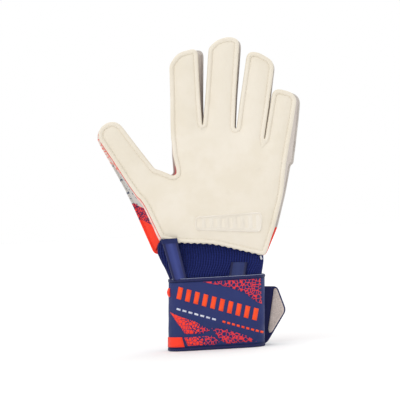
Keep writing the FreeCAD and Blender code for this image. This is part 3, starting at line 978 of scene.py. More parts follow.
def make_back():
    outline = trace("backhand_panel", "back", BACK_INSIDE)
    outline = soften(resample(outline, OUTLINE_STEP), 3)
    flat, triangles = triangulate(outline, EDGE_RINGS, 1.9 * MM)
    d = distance_to(outline, flat)
    front = np.full(len(flat), BACK_INSIDE)
    back = BACK_FACE + back_relief(flat, d)
    verts, faces = sheet_solid(flat, triangles, front, back, wall_rows=3, bulge=0.6 * MM)
    tags = []
    for face in faces:
        x, y, _ = verts[list(face)].mean(0)
        tags.append(1 if y < BACK_FACE - EDGE_DEPTH and x > THUMB_X else 0)
    mesh = new_mesh("back", verts, faces, front_uvs(verts), tags)
    set_owners(mesh, owners_of(outline, face_centres(mesh)))
    materials = [back_material(), back_edge_material()]
    pieces = make_pieces("backhand_foam", mesh, materials)
    replace_by_label(pieces, lambda label: digit_node("back")(label) or ["backhand_panel"])
    return outline


# ---- Gussets between palm and back ---------------------------------------------------------
TIP_ORDER = (3, 2, 1, 0, 4)   # the digits from the little finger round to the thumb


def sections(outline):
    """The outline from the wrist's right corner over every tip and fork to its left corner."""
    left, right = corners_of(outline)
    loop = np.roll(outline, -right, 0)
    end = (left - right) % len(outline)
    order = [DIGITS[i] for i in TIP_ORDER]
    stops = [0]
    tips = []
    for digit in order:
        u, v = digit.uv(loop)
        v[(np.abs(u) > digit.half * 0.7) | (np.arange(len(loop)) > end)] = -1
        tips.append(int(np.argmax(v)))
    for k, tip in enumerate(tips):
        if k:
            along = order[k - 1].along + order[k].along
            between = loop[tips[k - 1]:tip + 1] @ along
            stops.append(tips[k - 1] + int(np.argmin(between)))
        stops.append(tip)
    stops.append(end)
    return [loop[a:b + 1] for a, b in zip(stops, stops[1:])]


def owners_of(outline, points):
    """The digit whose stretch of the outline lies nearest to each (x, z) point."""
    parts = sections(outline)
    rim = np.vstack(parts)
    owner = np.concatenate([[TIP_ORDER[k // 2]] * len(p) for k, p in enumerate(parts)])
    nearest = np.empty(len(points), int)
    for start in range(0, len(points), 400):
        gap = points[start:start + 400, None, :] - rim[None]
        nearest[start:start + 400] = (gap ** 2).sum(2).argmin(1)
    return owner[nearest]


def set_owners(mesh, owners):
    """Marks each face with the digit that it belongs to."""
    layer = mesh.attributes.new("owner", "INT", "FACE")
    layer.data.foreach_set("value", np.asarray(owners, np.int32))
    return mesh


def gusset_material():
    s = Shader("gusset_mesh", roughness=0.85, sheen=0.05, specular=0.15)
    place = s.position()
    holes = s.ramp(s.weave(1.5, 1.5), 0.62, 0.9)
    base = s.mottle(s.noise(place, 25, 2), 0.35, 0.7, (206, 199, 192), (190, 181, 174))
    s.colour(s.mix(holes, base, linear(168, 158, 152)))
    s.bump(holes, 0.2 * MM, -0.8)
    # Painted light: a faint warm glow lifts the gusset out of the shade deep in the forks between the
    # digits.
    s.shader.inputs["Emission Color"].default_value = (*linear(196, 178, 168), 1.0)
    s.shader.inputs["Emission Strength"].default_value = 0.10
    return s.material


def thumb_side_material():
    """The strip beside the thumb: whitish seam at the palm, then the back's printed zones."""
    s = Shader("thumb_side", roughness=0.75, sheen=0.02, specular=0.15)
    place = s.position()
    z, share, _ = s.split(s.uv())
    height = s.math("MULTIPLY_ADD", share, -8.3, s.math("MULTIPLY", z, 100.0))
    colour, rose = zone_colours(s, height, place)
    colour = s.mix(s.ramp(height, GREY_TOP - 4.0, GREY_TOP - 3.4), colour, rose)
    seam = s.mottle(s.noise(place, 90, 2), 0.4, 0.7, (246, 234, 226), (240, 196, 186))
    s.colour(s.mix(s.ramp(share, 0.27, 0.31), seam, colour))
    s.bump(s.weave(1.4, 1.4), 0.12 * MM, 0.5)
    s.bump(s.noise(place, 500, 2, 0.6), 0.12 * MM, 0.4)
    return s.material


ROWS = 9                 # of points across a gusset
RED_SECTIONS = (7, 8)    # the outline's sections, beside the thumb's fork, with red mesh
RED_TOP = 168 * MM


def make_gussets(palm, back):
    palm = palm + inward(palm) * 1.2 * MM
    back = back + inward(back) * 1.2 * MM
    pairs = list(zip(sections(palm), sections(back)))
    share = np.linspace(0, 1, ROWS)
    depth = PALM_INSIDE - 0.3 * MM + share * (BACK_INSIDE - PALM_INSIDE + 0.6 * MM)
    meshes = []
    for number, (low, high) in enumerate(pairs):
        length = max(step_lengths(p).sum() for p in (low, high))
        count = max(6, int(length / (1.5 * MM)))
        low, high = (resample(p, step_lengths(p).sum() / count, False) for p in (low, high))
        count = min(len(low), len(high))
        meshes.append((number, low[:count], high[:count]))
    low = np.vstack([m[1] for m in meshes])
    high = np.vstack([m[2] for m in meshes])
    number = np.concatenate([[m[0]] * len(m[1]) for m in meshes])
    keep = np.concatenate([[True], step_lengths(low) > 0.05 * MM])
    low, high, number = low[keep], high[keep], number[keep]
    grid = np.empty((len(low), ROWS, 3))
    for j, r in enumerate(share):
        grid[:, j, 0] = low[:, 0] * (1 - r) + high[:, 0] * r
        grid[:, j, 2] = low[:, 1] * (1 - r) + high[:, 1] * r
        grid[:, j, 1] = depth[j]
    tangent = np.gradient(grid, axis=0)
    tangent[..., 1] = 0
    tangent /= np.maximum(np.linalg.norm(tangent, axis=2), 1e-9)[..., None]
    out = np.stack([tangent[..., 2], np.zeros(grid.shape[:2]), -tangent[..., 0]], axis=2)
    noise = smooth_noise(grid.reshape(-1, 3) * (1, 0.4, 1), 13 * MM, 11).reshape(grid.shape[:2])
    swell = np.sin(math.pi * share)[None, :] * (0.5 + 0.35 * noise) * MM
    outer = grid + out * swell[..., None]
    inner = outer - out * 1.0 * MM
    verts, faces = strip_solid(outer, inner)
    uvs = np.empty((len(low), ROWS, 2))
    uvs[..., 0] = distances_along(low)[:, None] * UV_SCALE
    uvs[..., 1] = share[None, :] * (BACK_INSIDE - PALM_INSIDE) * UV_SCALE
    thumb = number == number.max()
    uvs[thumb, :, 0] = grid[thumb, :, 2] * UV_SCALE
    uvs[thumb, :, 1] = share[None, :]
    count = len(low) * ROWS
    tags, owners = [], []
    for face in faces:
        column = min(i % count for i in face) // ROWS
        owners.append(TIP_ORDER[number[column] // 2])
        red = number[column] in RED_SECTIONS and grid[column, 0, 2] < RED_TOP
        tags.append(2 if thumb[column] else 1 if red else 0)
    mesh = set_owners(outward(new_mesh("gusset", verts, faces, both_faces(uvs), tags)), owners)
    red_mesh = fabric("gusset_red", linear(216, 66, 66), linear(186, 48, 58), (1.4, 1.4), 0.8)
    materials = [gusset_material(), red_mesh, thumb_side_material()]
    pieces = make_pieces("side_gusset", mesh, materials)
    hand = [n for n in NODES if n.endswith("_gusset") and "lower" not in n and "upper" not in n]
    replace_by_label(pieces, lambda label: digit_node("gusset")(label) or hand)
    return grid[thumb][:, 0]


def make_piping(edge):
    """A red cord along the palm's edge on the thumb's outer side."""
    path = edge.copy()
    path[:, 1] = PALM_INSIDE - 0.5 * MM
    away = np.gradient(path[:, [0, 2]], axis=0)
    away /= np.linalg.norm(away, axis=1)[:, None]
    path[:, 0] += away[:, 1] * 1.3 * MM
    path[:, 2] -= away[:, 0] * 1.3 * MM
    path = path[path[:, 2] < 192 * MM]
    verts, faces = tube(path, 0.75 * MM)
    mesh = outward(new_mesh("piping", verts, faces, front_uvs(verts)))
    material = fabric("piping_red", linear(238, 84, 66), linear(216, 60, 54), (0.8, 0.8), 0.6)
    make_pieces("thumb_piping", mesh, material)


# ---- Stitches ------------------------------------------------------------------------------
def stitch(centre, along, length, radius, depth):
    """One thread loop lying on a face, between two needle holes."""
    path = []
    for t in np.linspace(-1, 1, 7):
        x, z = centre + along * t * length / 2
        path.append((x, depth + radius * 1.6 * t * t, z))
    return tube(path, radius, 5)


def make_stitches(outline):
    path = resample(outline + inward(outline) * SEAM_IN, 3.2 * MM)
    path = path[distance_to(outline, path) > SEAM_IN * 0.9]
    tangent = np.roll(path, -1, 0) - np.roll(path, 1, 0)
    tangent /= np.linalg.norm(tangent, axis=1)[:, None]
    face = PALM_FACE - lip_profile(np.array([SEAM_IN]))[0]
    label = labels(path)
    material = fabric("thread_cream", linear(236, 228, 210), linear(214, 204, 184), (0.4, 0.4), 0.6)
    for which in sorted(set(label.tolist())):
        parts = [
            stitch(path[i], tangent[i], 2.3 * MM, 0.3 * MM, face - 0.15 * MM)
            for i in np.nonzero(label == which)[0]
        ]
        name = piece_name("palm_stitches", which)
        attach(add_solid(name, *gather(parts), material, "latex_foam"), which)


# ---- Strap round the wrist -----------------------------------------------------------------
class Band:
    """The strap's path in plan. s runs along its outer face from the middle of the front,
    positive towards the little finger, and out is the distance off that face."""

    def __init__(self):
        low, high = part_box("wrist_strap")
        axis = JOINTS["flap_fold"]["axis"]
        self.lean = axis[0] / axis[2]
        self.low, self.high = low[2], high[2]
        self.half = (high[0] - low[0] - self.lean * (high[2] - low[2])) / 2
        self.depth = -low[1]
        self.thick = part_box("closure_flap")[1][1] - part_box("closure_flap")[0][1]
        self.inner = corner("loop_patch", 0, 1)
        self.radius = 14 * MM
        points = mesh_points("wrist_strap")
        plan = points[:, 0] - self.lean * points[:, 2]
        self.start = plan[np.abs(points[:, 1] - self.inner) < SNAP].min()
        self.fold = plan[np.abs(points[:, 1] - self.depth) < SNAP].max()
        right = self.path(1, self.inner, self.start)
        left = self.path(-1, self.depth, self.fold - 3 * MM)
        self.line = np.vstack([left[::-1], right[1:]])
        steps = step_lengths(self.line)
        self.along = distances_along(self.line) - steps[:len(left) - 1].sum()
        tangent = np.gradient(self.line, axis=0)
        tangent /= np.linalg.norm(tangent, axis=1)[:, None]
        self.normal = np.column_stack([tangent[:, 1], -tangent[:, 0]])

    def path(self, side, back, end):
        """Plan points from the front's middle round one side to where the band ends."""
        r = self.radius
        points = [(0, -self.depth)]
        points += [(side * x, -self.depth) for x in np.linspace(1.5 * MM, self.half - r - 1 * MM, 20)]
        for centre_y, first in ((-self.depth + r, -90), (back - r, 0)):
            for t in np.radians(np.linspace(first, first + 90, 15)):
                points.append((side * (self.half - r + r * math.cos(t)), centre_y + r * math.sin(t)))
        count = int(abs(self.half - r - side * end) / (1.5 * MM))
        points += [(x, back) for x in np.linspace(side * (self.half - r), end, count + 2)[1:]]
        return np.array(points)

    def bow(self, s):
        """The front bulges slightly, as the wrist's shape holds it."""
        return 0.7 * MM * np.clip(1 - (s / (self.half - 4 * MM)) ** 2, 0, 1)

    def point(self, s, out, z):
        """World points for arrays of s, distance off the outer face, and height."""
        s, out, z = np.broadcast_arrays(s, out, z)
        out = out + self.bow(s)
        x, y = (
            np.interp(s, self.along, self.line[:, k]) + np.interp(s, self.along, self.normal[:, k]) * out
            for k in (0, 1)
        )
        return np.stack([x + self.lean * z, y, z], axis=-1)

    def from_front(self, x, z):
        """s for points seen from the front, clear of the lean, also round the corners."""
        flat = self.half - self.radius
        side = np.sign(x - self.lean * z)
        seen = np.abs(x - self.lean * z)
        turn = np.arcsin(np.clip((seen - flat) / self.radius, 0, 0.98))
        return side * (np.minimum(seen, flat) + self.radius * turn)


BAND = Band()


def swept(name, section, s_values, material, slot, node=None):
    """A closed band from a section of (out, z) pairs, outer face upwards then inner face upwards."""
    outer, inner = (np.array(p) for p in section)
    s = np.asarray(s_values)[:, None]
    smooth, inside_face = (BAND.point(s, face[None, :, 0], face[None, :, 1]) for face in (outer, inner))
    pucker = smooth_noise(smooth.reshape(-1, 3), 14 * MM, 5).reshape(smooth.shape[:2])
    push = BAND.point(s, outer[None, :, 0] + pucker * 0.14 * MM, outer[None, :, 1])
    verts, faces = strip_solid(push, inside_face)
    uvs = np.vstack([
        np.stack(np.broadcast_arrays(s * UV_SCALE, face[None, :, 1] * UV_SCALE), axis=-1).reshape(-1, 2)
        for face in (outer, inner)
    ])
    return add_solid(name, verts, faces, material, slot, uvs, "hand", node)


def web_material():
    s = Shader("strap_web", roughness=0.55, specular=0.2)
    place = s.position()
    u, v, _ = s.split(s.uv())
    slope = s.math("MULTIPLY_ADD", u, 0.33, v)
    zone = s.ramp(slope, 0.385, 0.39)
    low = s.math("LESS_THAN", slope, 0.235)
    navy = s.mix(s.noise(place, 45, 3), linear(44, 54, 108), linear(38, 46, 98))
    upper = s.mix(s.noise(place, 30, 2), linear(44, 56, 112), linear(36, 46, 98))
    colour = s.mix(zone, navy, upper)
    s.colour(s.mix(low, colour, linear(38, 50, 100)))
    s.rough(s.ramp(s.noise(place, 80, 3), 0.3, 0.7, 0.48, 0.66))
    s.bump(s.weave(0.8, 0.8), 0.1 * MM, 0.6)
    s.bump(s.noise(place, 400, 3, 0.6), 0.12 * MM, 0.4)
    return s.material


def make_strap():
    rows = np.linspace(BAND.low, BAND.high, 26)
    outer = [(0.0, z) for z in rows]
    inner = [(-BAND.thick, z) for z in rows]
    line = np.column_stack([BAND.along, BAND.along * 0])
    s_values = resample(line, OUTLINE_STEP, False)[:, 0]
    section = (outer, inner)
    strap = swept("wrist_strap_cover", section, s_values, web_material(), "strap_web", "wrist_strap")
    navy = linear(32, 38, 90), linear(24, 28, 70)
    tape = fabric("binding_tape", *navy, (0.7, 0.7), 0.5, 0.0, 0.12, 0.25)
    for place in ("lower", "upper"):
        node = f"strap_{place}_binding"
        low, high = corner(node, 0, 2), corner(node, 1, 2)
        turn = np.linspace(-1, 1, 9)
        height = (low + high) / 2 + turn * (high - low) / 2
        round_off = np.sqrt(np.clip(1 - turn ** 4, 0, 1))
        outer = [(0.5 * MM * r - (1 - r) * 0.9 * MM, z) for r, z in zip(round_off, height)]
        inner = [(-BAND.thick + (1 - r) * 0.9 * MM, z) for r, z in zip(round_off, height)]
        swept(f"{place}_binding_tape", (outer, inner), s_values, tape, "binding", node)
    # A pale cord along the top of the upper binding: a painted highlight, standing in for the light
    # caught on the binding's rounded top edge.
    s = s_values[(s_values > -BAND.half) & (s_values < BAND.half + 6 * MM)]
    top = corner("strap_upper_binding", 1, 2)
    path = BAND.point(s, -0.4 * MM, top - 0.15 * MM)
    pale = fabric("edge_cord", linear(170, 176, 200), linear(120, 128, 168), (0.5, 0.5), 0.45)
    add_solid("strap_edge_cord", *tube(path, 0.32 * MM, 6), pale, "binding", body="hand")


# ---- Print on the strap: generic bars and cells, no lettering ---------------------------------
def on_band(polygon, lift):
    """A thin closed film over the band, inside a polygon of (x, z) in mm seen from the front."""
    grid = 2.2 * MM
    corners = counter_clockwise(np.array(polygon) * MM)
    outline = np.vstack([
        np.linspace(a, b, max(1, int(np.ceil(np.linalg.norm(b - a) / grid))), endpoint=False)
        for a, b in zip(corners, np.roll(corners, -1, 0))
    ])
    flat, triangles = triangulate(outline, [], grid)
    front = np.full(len(flat), -lift)
    back = np.full(len(flat), 0.35 * MM)
    verts, faces = sheet_solid(flat, triangles, front, back, 1, 0.0)
    s = BAND.from_front(verts[:, 0], verts[:, 2])
    return BAND.point(s, -verts[:, 1], verts[:, 2]), faces, front_uvs(verts)


def film(name, polygons, lift, material, node=None):
    made = [on_band(p, lift) for p in polygons]
    verts, faces = gather([(m[0], m[1]) for m in made])
    uvs = np.vstack([m[2] for m in made])
    add_solid(name, verts, faces, material, "printed_tab", uvs, "hand", node)


def print_material(name, light, dark, roughness=0.5):
    s = Shader(name, roughness, specular=0.2)
    place = s.position()
    s.colour(s.mix(s.ramp(s.noise(place, 70, 3, 0.6), 0.35, 0.75), light, dark))
    s.rough(s.ramp(s.noise(place, 160, 2), 0.3, 0.7, roughness - 0.08, roughness + 0.1))
    s.bump(s.noise(place, 500, 2, 0.6), 0.06 * MM, 0.5)
    return s.material


def cell_material(name, fade_left, fade_right, thin, thick):
    """An orange print broken up by dark cells, which opens up from the left to the right."""
    s = Shader(name, roughness=0.5, specular=0.2)
    u = s.split(s.uv())[0]
    borders = s.cells(s.uv(), 34, 0.8)
    width = s.ramp(u, fade_left, fade_right, thin, thick)
    solid = s.math("GREATER_THAN", borders, width)
    line = s.math("LESS_THAN", borders, 0.075)
    open_share = s.ramp(u, fade_left, fade_right)
    orange = s.mix(s.noise(s.position(), 60, 2), linear(250, 66, 42), linear(236, 54, 50))
    navy = linear(36, 42, 94)
    filled = s.mix(solid, navy, orange)
    lines = s.mix(line, navy, s.mix(0.35, orange, linear(186, 44, 84)))
    s.colour(s.mix(s.math("GREATER_THAN", open_share, 0.5), filled, lines))
    s.bump(s.noise(s.position(), 500, 2, 0.6), 0.06 * MM, 0.5)
    return s.material


def bar(x, z, width, height, lean):
    """A slanted bar with its foot's left corner at x, z; its foot follows the printed slope."""
    drop = -0.34 * width
    return [(x, z), (x + width, z + drop), (x + width + lean, z + drop + height), (x + lean, z + height)]


def make_print():
    orange = print_material("print_orange", linear(255, 84, 40), linear(242, 70, 38))
    bars = [bar(-33.5 + 7.4 * k, 47.6 - 2.5 * k, 4.0, 10.5, 2.6) for k in range(10)]
    film("strap_bars", bars, 0.22 * MM, orange)
    white = print_material("print_white", linear(226, 228, 240), linear(196, 200, 222))
    dashes = [bar(-34.0 + 5.2 * k, 37.6 - 1.76 * k, 3.4, 1.6, 0.4) for k in range(7)]
    film("strap_dashes", dashes, 0.2 * MM, white)
    small = [bar(6.4 + 4.2 * k, 24.0 - 1.42 * k, 2.6, 1.8, 0.4) for k in range(9)]
    film("strap_marks", small, 0.2 * MM, orange)
    wedge = [(-40.2, 35.6), (-27.4, 15.4), (-12.0, 15.0), (-4.8, 17.6), (-18.2, 26.2), (-31.2, 31.2)]
    film("strap_wedge", [wedge], 0.16 * MM, cell_material("print_wedge", -0.40, 0.12, 0.02, 0.20))
    lower = [(-28.6, 12.2), (-25.6, 4.6), (-2.0, 4.4), (3.0, 6.6), (-3.0, 12.6)]
    film("strap_lower_cells", [lower], 0.16 * MM, cell_material("print_lower", -0.34, 0.14, 0.03, 0.24))
    tail = [(-3.6, 19.4), (4.0, 8.0), (10.0, 4.4), (20.0, 5.4), (36.0, 5.0), (28.0, 10.6), (10.0, 17.4)]
    upper = [(-9.0, 61.2), (43.0, 61.4), (42.9, 38.0), (35.0, 43.0), (28.0, 49.6), (13.0, 55.6)]
    open_cells = cell_material("print_cells", -9.0, -8.0, 0.1, 0.2)
    film("strap_open_cells", [tail, upper], 0.16 * MM, open_cells)
    tab = print_material("tab_orange", linear(250, 62, 38), linear(238, 52, 36), 0.45)
    z_low, z_high = corner("strap_tab", 0, 2) / MM, corner("strap_tab", 1, 2) / MM
    patch = [(-43.1, z_low), (-28.6, z_low), (-30.4, z_high), (-42.8, z_high)]
    film("strap_side_tab", [patch], 0.9 * MM, tab, "strap_tab")
    s = BAND.from_front(np.array([-36.0 * MM]), np.array([0.0]))[0] - 12.5 * MM
    rows = np.linspace(49 * MM, 57 * MM, 7)
    outer = [(1.3 * MM * math.sin(math.pi * k / 6) + 0.2 * MM, z) for k, z in enumerate(rows)]
    inner = [(-0.2 * MM, z) for z in rows]
    swept("side_loop", (outer, inner), np.linspace(s - 4 * MM, s + 4 * MM, 8), tab, "printed_tab")


# ---- Closure flap -----------------------------------------------------------------------------
def make_flap():
    low, high = (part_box("closure_flap")[i][1] for i in (0, 1))
    outline = outline_of("closure_flap", high)
    root = outline[:, 0] - BAND.lean * outline[:, 1] < BAND.fold + 1.5 * MM
    outline[root, 0] -= 3.4 * MM
    outline = resample(outline, OUTLINE_STEP)
    flat, triangles = triangulate(outline, EDGE_RINGS[:8], 2.4 * MM)
    d = distance_to(outline, flat)
    at_root = np.clip((flat[:, 0] - BAND.lean * flat[:, 1] - BAND.fold + 1.0 * MM) / (4 * MM), 0, 1)
    rim = profile(d, (0, 0.6, 1.4, 2.4, 3.0, 4.5, 60), (-0.9, 0.1, 0.35, 0.3, -0.1, 0, 0))
    wave = smooth_noise(upright(flat), 26 * MM, 21) * 0.25 * MM
    back = high + (rim + wave) * at_root
    front = low + np.minimum(0, -rim) * 0.3 * at_root
    front -= np.where(d < 0.6 * MM, -0.6 * MM, 0.0) * at_root
    verts, faces = sheet_solid(flat, triangles, front, back)
    cover = fabric("flap_cover", linear(34, 38, 92), linear(24, 27, 70), (0.8, 0.8), 0.55, 0.0, 0.12, 0.2)
    flap = add_solid("closure_flap_cover", verts, faces, cover, "strap_web")
    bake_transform(flap)
    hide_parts("closure_flap")


def pile_patch(name, node, level, other, face, material, body, height, seed):
    """A fuzzy fastening patch; face is -1 where its pile faces -Y."""
    outline = outline_of(node, level)
    flat, triangles = triangulate(outline, EDGE_RINGS[:4], 1.1 * MM)
    d = distance_to(outline, flat)
    draw = np.random.default_rng(seed)
    fuzz = draw.normal(size=len(flat)) * height * np.clip(d / (1 * MM), 0, 1)
    rim = -np.clip(1 - d / (0.8 * MM), 0, 1) * 0.5 * MM
    if face < 0:
        front, back = level - fuzz - rim, np.full(len(flat), other)
    else:
        front, back = np.full(len(flat), other), level + fuzz + rim
    verts, faces = sheet_solid(flat, triangles, front, back, 1, 0.0)
    add_solid(name, verts, faces, material, node.replace("patch", "pile"), None, body, node)


def pile_material(name, light, dark):
    s = Shader(name, roughness=0.95, sheen=0.4, specular=0.1)
    place = s.position()
    grain = s.noise(place, 1100, 3, 0.7)
    smear = s.noise(place, 110, 3, 0.6)
    base = s.mix(s.ramp(grain, 0.35, 0.7), dark, light)
    s.colour(s.mix(s.ramp(smear, 0.5, 0.8, 0.0, 0.35), base, dark))
    s.bump(grain, 0.35 * MM, 0.9)
    return s.material


def make_patches():
    hook = pile_material("hook_pile", linear(226, 212, 204), linear(196, 182, 174))
    low, high = corner("hook_patch", 0, 1), corner("hook_patch", 1, 1)
    pile_patch("hook_tape", "hook_patch", low, high + 0.2 * MM, -1, hook, "flap", 0.12 * MM, 31)
    loop = pile_material("loop_pile", linear(52, 56, 104), linear(28, 31, 72))
    low, high = corner("loop_patch", 0, 1), corner("loop_patch", 1, 1)
    pile_patch("loop_tape", "loop_patch", high, low - 0.2 * MM, 1, loop, "hand", 0.12 * MM, 32)


# ---- Elastic cuff -------------------------------------------------------------------------------
CUFF_LEVELS = [  # height, left, right, front and back edges, corner radius, in mm; its top is sewn inside
    (0.0, -40.4, 40.4, -15.8, 11.2, 12.0),
    (52.0, -37.4, 43.4, -15.8, 11.2, 12.0),
    (62.0, -37.6, 44.0, -15.9, 11.2, 12.0),
    (68.0, -39.8, 45.0, -15.2, 11.0, 11.0),
    (76.0, -43.2, 46.8, -12.4, 9.0, 8.0),
    (84.0, -46.2, 46.6, -9.8, 7.6, 6.5),
    (88.0, -48.2, 46.0, -8.6, 7.6, 6.0),
    (96.0, -48.0, 44.2, -7.8, 7.6, 6.0),
    (101.0, -44.8, 43.4, -7.6, 7.6, 6.0),
    (108.0, -40.0, 43.2, -7.6, 7.6, 6.0),
]


def rounded_ring(left, right, front, back, radius, count):
    """Points and outward normals round a rounded rectangle in plan, evenly spaced."""
    centres = [(right - radius, front + radius, -90), (right - radius, back - radius, 0),
               (left + radius, back - radius, 90), (left + radius, front + radius, 180)]
    points, normals = [], []
    for x, y, first in centres:
        for t in np.radians(np.linspace(first, first + 90, 12)):
            normals.append((math.cos(t), math.sin(t)))
            points.append((x + radius * math.cos(t), y + radius * math.sin(t)))
    points.append(points[0])
    normals.append(normals[0])
    points, normals = np.array(points), np.array(normals)
    along = distances_along(points)
    at = np.linspace(0, along[-1], count, endpoint=False)
    places, outs = (
        np.column_stack([np.interp(at, along, v[:, k]) for k in (0, 1)]) for v in (points, normals))
    return places, outs / np.linalg.norm(outs, axis=1)[:, None]


def knit_material():
    s = Shader("cuff_knit", roughness=0.85, sheen=0.06, specular=0.15)
    place = s.position()
    u, v, _ = s.split(s.uv())
    rib = s.math("SINE", s.math("MULTIPLY", u, 2 * math.pi))
    rows = s.math("SINE", s.math("MULTIPLY", v, 200 * math.pi / 1.5))
    # Each rib is painted light on one side and dark on the other, and each row lighter along the crest of
    # its bump: partly the knit's own two tones, partly painted highlight and shade.
    tone = s.ramp(rib, -0.8, 0.9)
    base = s.mix(tone, linear(14, 22, 72), linear(26, 38, 104))
    cross = s.ramp(rows, 0.3, 1.0, 0.0, 0.35)
    base = s.mix(cross, base, linear(36, 48, 116))
    s.colour(s.mix(s.ramp(s.noise(place, 50, 3, 0.6), 0.45, 0.8, 0.0, 0.4), base, linear(16, 22, 74)))
    s.bump(rows, 0.25 * MM, 0.7)
    s.bump(s.noise(place, 900, 2, 0.6), 0.15 * MM, 0.5)
    return s.material


def make_cuff():
    count, ribs = 540, 90
    levels = np.array(CUFF_LEVELS)
    heights = np.concatenate([np.linspace(0, 60, 16), np.linspace(62, 108, 36)])
    outer = np.empty((count, len(heights), 3))
    inner = np.empty_like(outer)
    wall = 2.0 * MM
    turn = np.arange(count) / count
    rib = np.abs(np.sin(math.pi * ribs * turn)) ** 0.7
    for j, z in enumerate(heights):
        sizes = [np.interp(z, levels[:, 0], levels[:, k]) * MM for k in range(1, 6)]
        points, normals = rounded_ring(*sizes, count)
        place = np.column_stack([points, np.full(count, z * MM * 0.35)])
        fold = smooth_noise(place, 11 * MM, 41) * 0.5 * MM * math.exp(-((z - 76) / 16) ** 2)
        push = (rib * 0.75 - 0.5) * MM * (1.0 if z > 50 else 0.7) + fold
        outer[:, j, :2] = points + normals * push[:, None]
        inner[:, j, :2] = points - normals * (wall - rib[:, None] * 0.3 * MM)
        outer[:, j, 2] = inner[:, j, 2] = z * MM
    verts, faces = strip_solid(outer, inner, sleeve=True)
    uvs = np.empty((count, len(heights), 2))
    uvs[..., 0] = (turn * ribs)[:, None]
    uvs[..., 1] = heights[None, :] * MM * UV_SCALE
    cuff = add_solid("elastic_cuff_knit", verts, faces, knit_material(), "cuff_knit",
                     both_faces(uvs), "hand", "elastic_cuff")


# ---- Pull-on loop, small tab and bartack ------------------------------------------------------------
def strap_strip(name, node, corners, thick, border, material, slot, sag=0.0):
    """A flat tape from corners (x, y, z): low left, low right, high right, high left, in mm.
    Its borders are rolled and raised."""
    low_left, low_right, high_right, high_left = (np.array(c) * MM for c in corners)
    across = np.array([0.0, 0.04, 0.08, 0.12, 0.16, 0.2, 0.35, 0.5,
                       0.65, 0.8, 0.84, 0.88, 0.92, 0.96, 1.0])
    along = np.linspace(0, 1, 22)
    grid = np.empty((len(across), len(along), 3))
    for i, a in enumerate(across):
        low, high = low_left * (1 - a) + low_right * a, high_left * (1 - a) + high_right * a
        for j, b in enumerate(along):
            grid[i, j] = low * (1 - b) + high * b
    normal = np.cross(low_right - low_left, high_left - low_left)
    normal /= np.linalg.norm(normal)
    if normal[1] > 0:
        normal = -normal
    edge = np.minimum(across, 1 - across)
    side_rise = np.array([-0.6, 0.3, 0.4, 0.0, -0.1, 0.15]) * MM
    end_rise = np.array([-0.5, 0.3, 0.4, -0.1, 0.0, 0.0]) * MM
    rise = np.interp(edge, [0, 0.04, 0.08, 0.12, 0.2, 0.5], side_rise)
    end = np.interp(1 - along, [0, 0.02, 0.07, 0.10, 0.13, 1], end_rise)
    top = grid + normal * (thick * MM + rise[:, None, None] + end[None, :, None] + border * MM
                           + sag * MM * np.sin(math.pi * along)[None, :, None])
    bottom = grid - normal * 0.2 * MM
    verts, faces = strip_solid(top, bottom)
    uvs = np.empty((len(across), len(along), 2))
    uvs[..., 0] = across[:, None] * np.linalg.norm(low_right - low_left) * UV_SCALE
    uvs[..., 1] = along[None, :] * np.linalg.norm(high_left - low_left) * UV_SCALE
    add_solid(name, verts, faces, material, slot, both_faces(uvs), "hand", node)


def edged_tape(name, light, dark, edge, width, roughness, shine):
    """A tape whose two borders are a darker binding, with a painted highlight down its middle as strong
    as shine; width is its own, in mm.
    """
    s = Shader(name, roughness, specular=0.35)
    u = s.split(s.uv())[0]
    off = s.math("ABSOLUTE", s.math("MULTIPLY_ADD", u, 100.0, -width / 2))
    middle = s.mix(s.ramp(s.noise(s.position(), 55, 3), 0.35, 0.7), light, dark)
    # Painted highlight: the middle of the tape turns lighter and bluer, as if light caught its crown.
    painted_centre_highlight = s.mix(s.ramp(off, 0.0, width * 0.28), s.mix(shine, light, linear(74, 88, 160)), middle)
    s.colour(s.mix(s.ramp(off, width * 0.5 - 2.4, width * 0.5 - 2.0), painted_centre_highlight, edge))
    s.rough(s.ramp(s.noise(s.position(), 120, 2), 0.3, 0.7, roughness - 0.06, roughness + 0.1))
    s.bump(s.weave(0.6, 0.6), 0.05 * MM, 0.6)
    return s.material


def make_tapes():
    tones = linear(40, 52, 118), linear(32, 42, 104), linear(22, 28, 76)
    gloss_and_painted_highlight = edged_tape("pull_tape", *tones, 12.8, 0.36, 0.25)
    tones = linear(30, 42, 96), linear(20, 28, 78)
    dark = fabric("tab_tape", *tones, (0.6, 0.6), 0.5, 0.0, 0.08, 0.25)
    loop = [(-35.6, -16.6, 64.0), (-22.9, -16.6, 64.0), (-30.0, -13.6, 101.2), (-44.2, -13.6, 100.8)]
    strap_strip("pull_on_tape", "pull_on_loop", loop, 1.6, 0.0, gloss_and_painted_highlight, "strap_web", 0.6)
    fold = [(-43.7, -14.6, 97.2), (-29.4, -14.6, 97.6), (-29.8, -14.6, 101.8), (-44.5, -14.6, 101.4)]
    strap_strip("pull_on_fold", None, fold, 1.4, 0.2, dark, "strap_web")
    tab = [(14.4, -17.0, 64.5), (29.6, -17.0, 64.5), (32.2, -13.2, 76.4), (17.4, -13.2, 77.4)]
    tones = linear(28, 42, 94), linear(24, 36, 86), linear(16, 22, 66)
    small = edged_tape("cuff_tape", *tones, 15.0, 0.5, 0.05)
    strap_strip("cuff_tape", "cuff_tab", tab, 0.9, 0.0, small, "strap_web")
    white = fabric("bartack_thread", linear(240, 240, 244), linear(205, 206, 216), (0.4, 0.4), 0.6)
    parts = []
    for k in range(7):
        centre = np.array([45.0 - 0.12 * k, 78.4 + 0.5 * k]) * MM
        depth = -12.6 * MM + 0.2 * k * MM
        parts.append(stitch(centre, np.array([0.98, 0.2]), 1.5 * MM, 0.26 * MM, depth))
    add_solid("bartack", *gather(parts), white, "binding", body="hand")


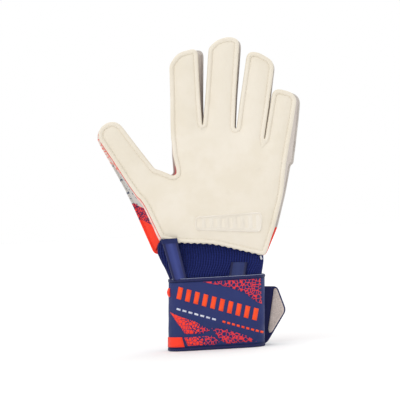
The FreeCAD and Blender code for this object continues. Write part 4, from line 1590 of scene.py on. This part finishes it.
# ---- Heel patch and linings ---------------------------------------------------------------------------
def make_heel_patch():
    low, high = corner("heel_patch", 0, 1), corner("heel_patch", 1, 1)
    outline = outline_of("heel_patch", low)
    rings = (0.4, 0.9, 1.5, 2.1, 2.7)
    flat, triangles = triangulate(outline, [d * MM for d in rings], 1.2 * MM)
    d = distance_to(outline, flat)
    rim = profile(d, (0, *rings, 60), (-1.3, -0.4, 0, -0.05, -0.8, -0.7, -0.45))
    rib = np.clip(np.sin(2 * math.pi * flat[:, 0] / (7 * MM)), -0.5, 0.4) * 1.1 * MM
    inner = np.clip((d - 3.4 * MM) / (0.8 * MM), 0, 1)
    front = low - rim - rib * inner
    back = np.full(len(flat), high + 0.6 * MM)
    verts, faces = sheet_solid(flat, triangles, front, back, 1, 0.1 * MM)
    s = Shader("heel_latex", roughness=0.72, sheen=0.03, specular=0.15)
    place = s.position()
    grain = s.noise(place, 1300, 2, 0.6)
    tone = s.ramp(s.noise(place, 50, 3), 0.35, 0.7)
    s.colour(s.mix(tone, linear(234, 227, 215), linear(227, 219, 205)))
    s.bump(grain, 0.1 * MM, 0.5)
    add_solid("heel_patch_cover", verts, faces, s.material, "latex_foam", None, "hand", "heel_patch")


def make_linings():
    cloth = fabric("lining_cloth", linear(206, 204, 206), linear(178, 176, 182), (1.0, 1.0), 0.9, 0.2)
    for node, seed in (("palm_lining", 51), ("backhand_lining", 52)):
        low, high = corner(node, 0, 1), corner(node, 1, 1)
        outline = outline_of(node, low)
        flat, triangles = triangulate(outline, [0.8 * MM], 3.2 * MM)
        wave = smooth_noise(upright(flat), 20 * MM, seed) * 0.25 * MM
        verts, faces = sheet_solid(flat, triangles, low + wave, high + wave, 1, 0.0)
        made = add_solid(f"{node}_cloth", verts, faces, cloth, "lining", None, "hand", node)


make_camera()
make_studio()
bpy.context.scene.view_settings.view_transform = "Standard"
palm_outline = make_palm()
back_outline = make_back()
thumb_edge = make_gussets(palm_outline, back_outline)
make_piping(thumb_edge)
make_stitches(palm_outline)
make_heel_patch()
make_linings()
make_cuff()
make_tapes()
make_strap()
make_print()
make_flap()
make_patches()
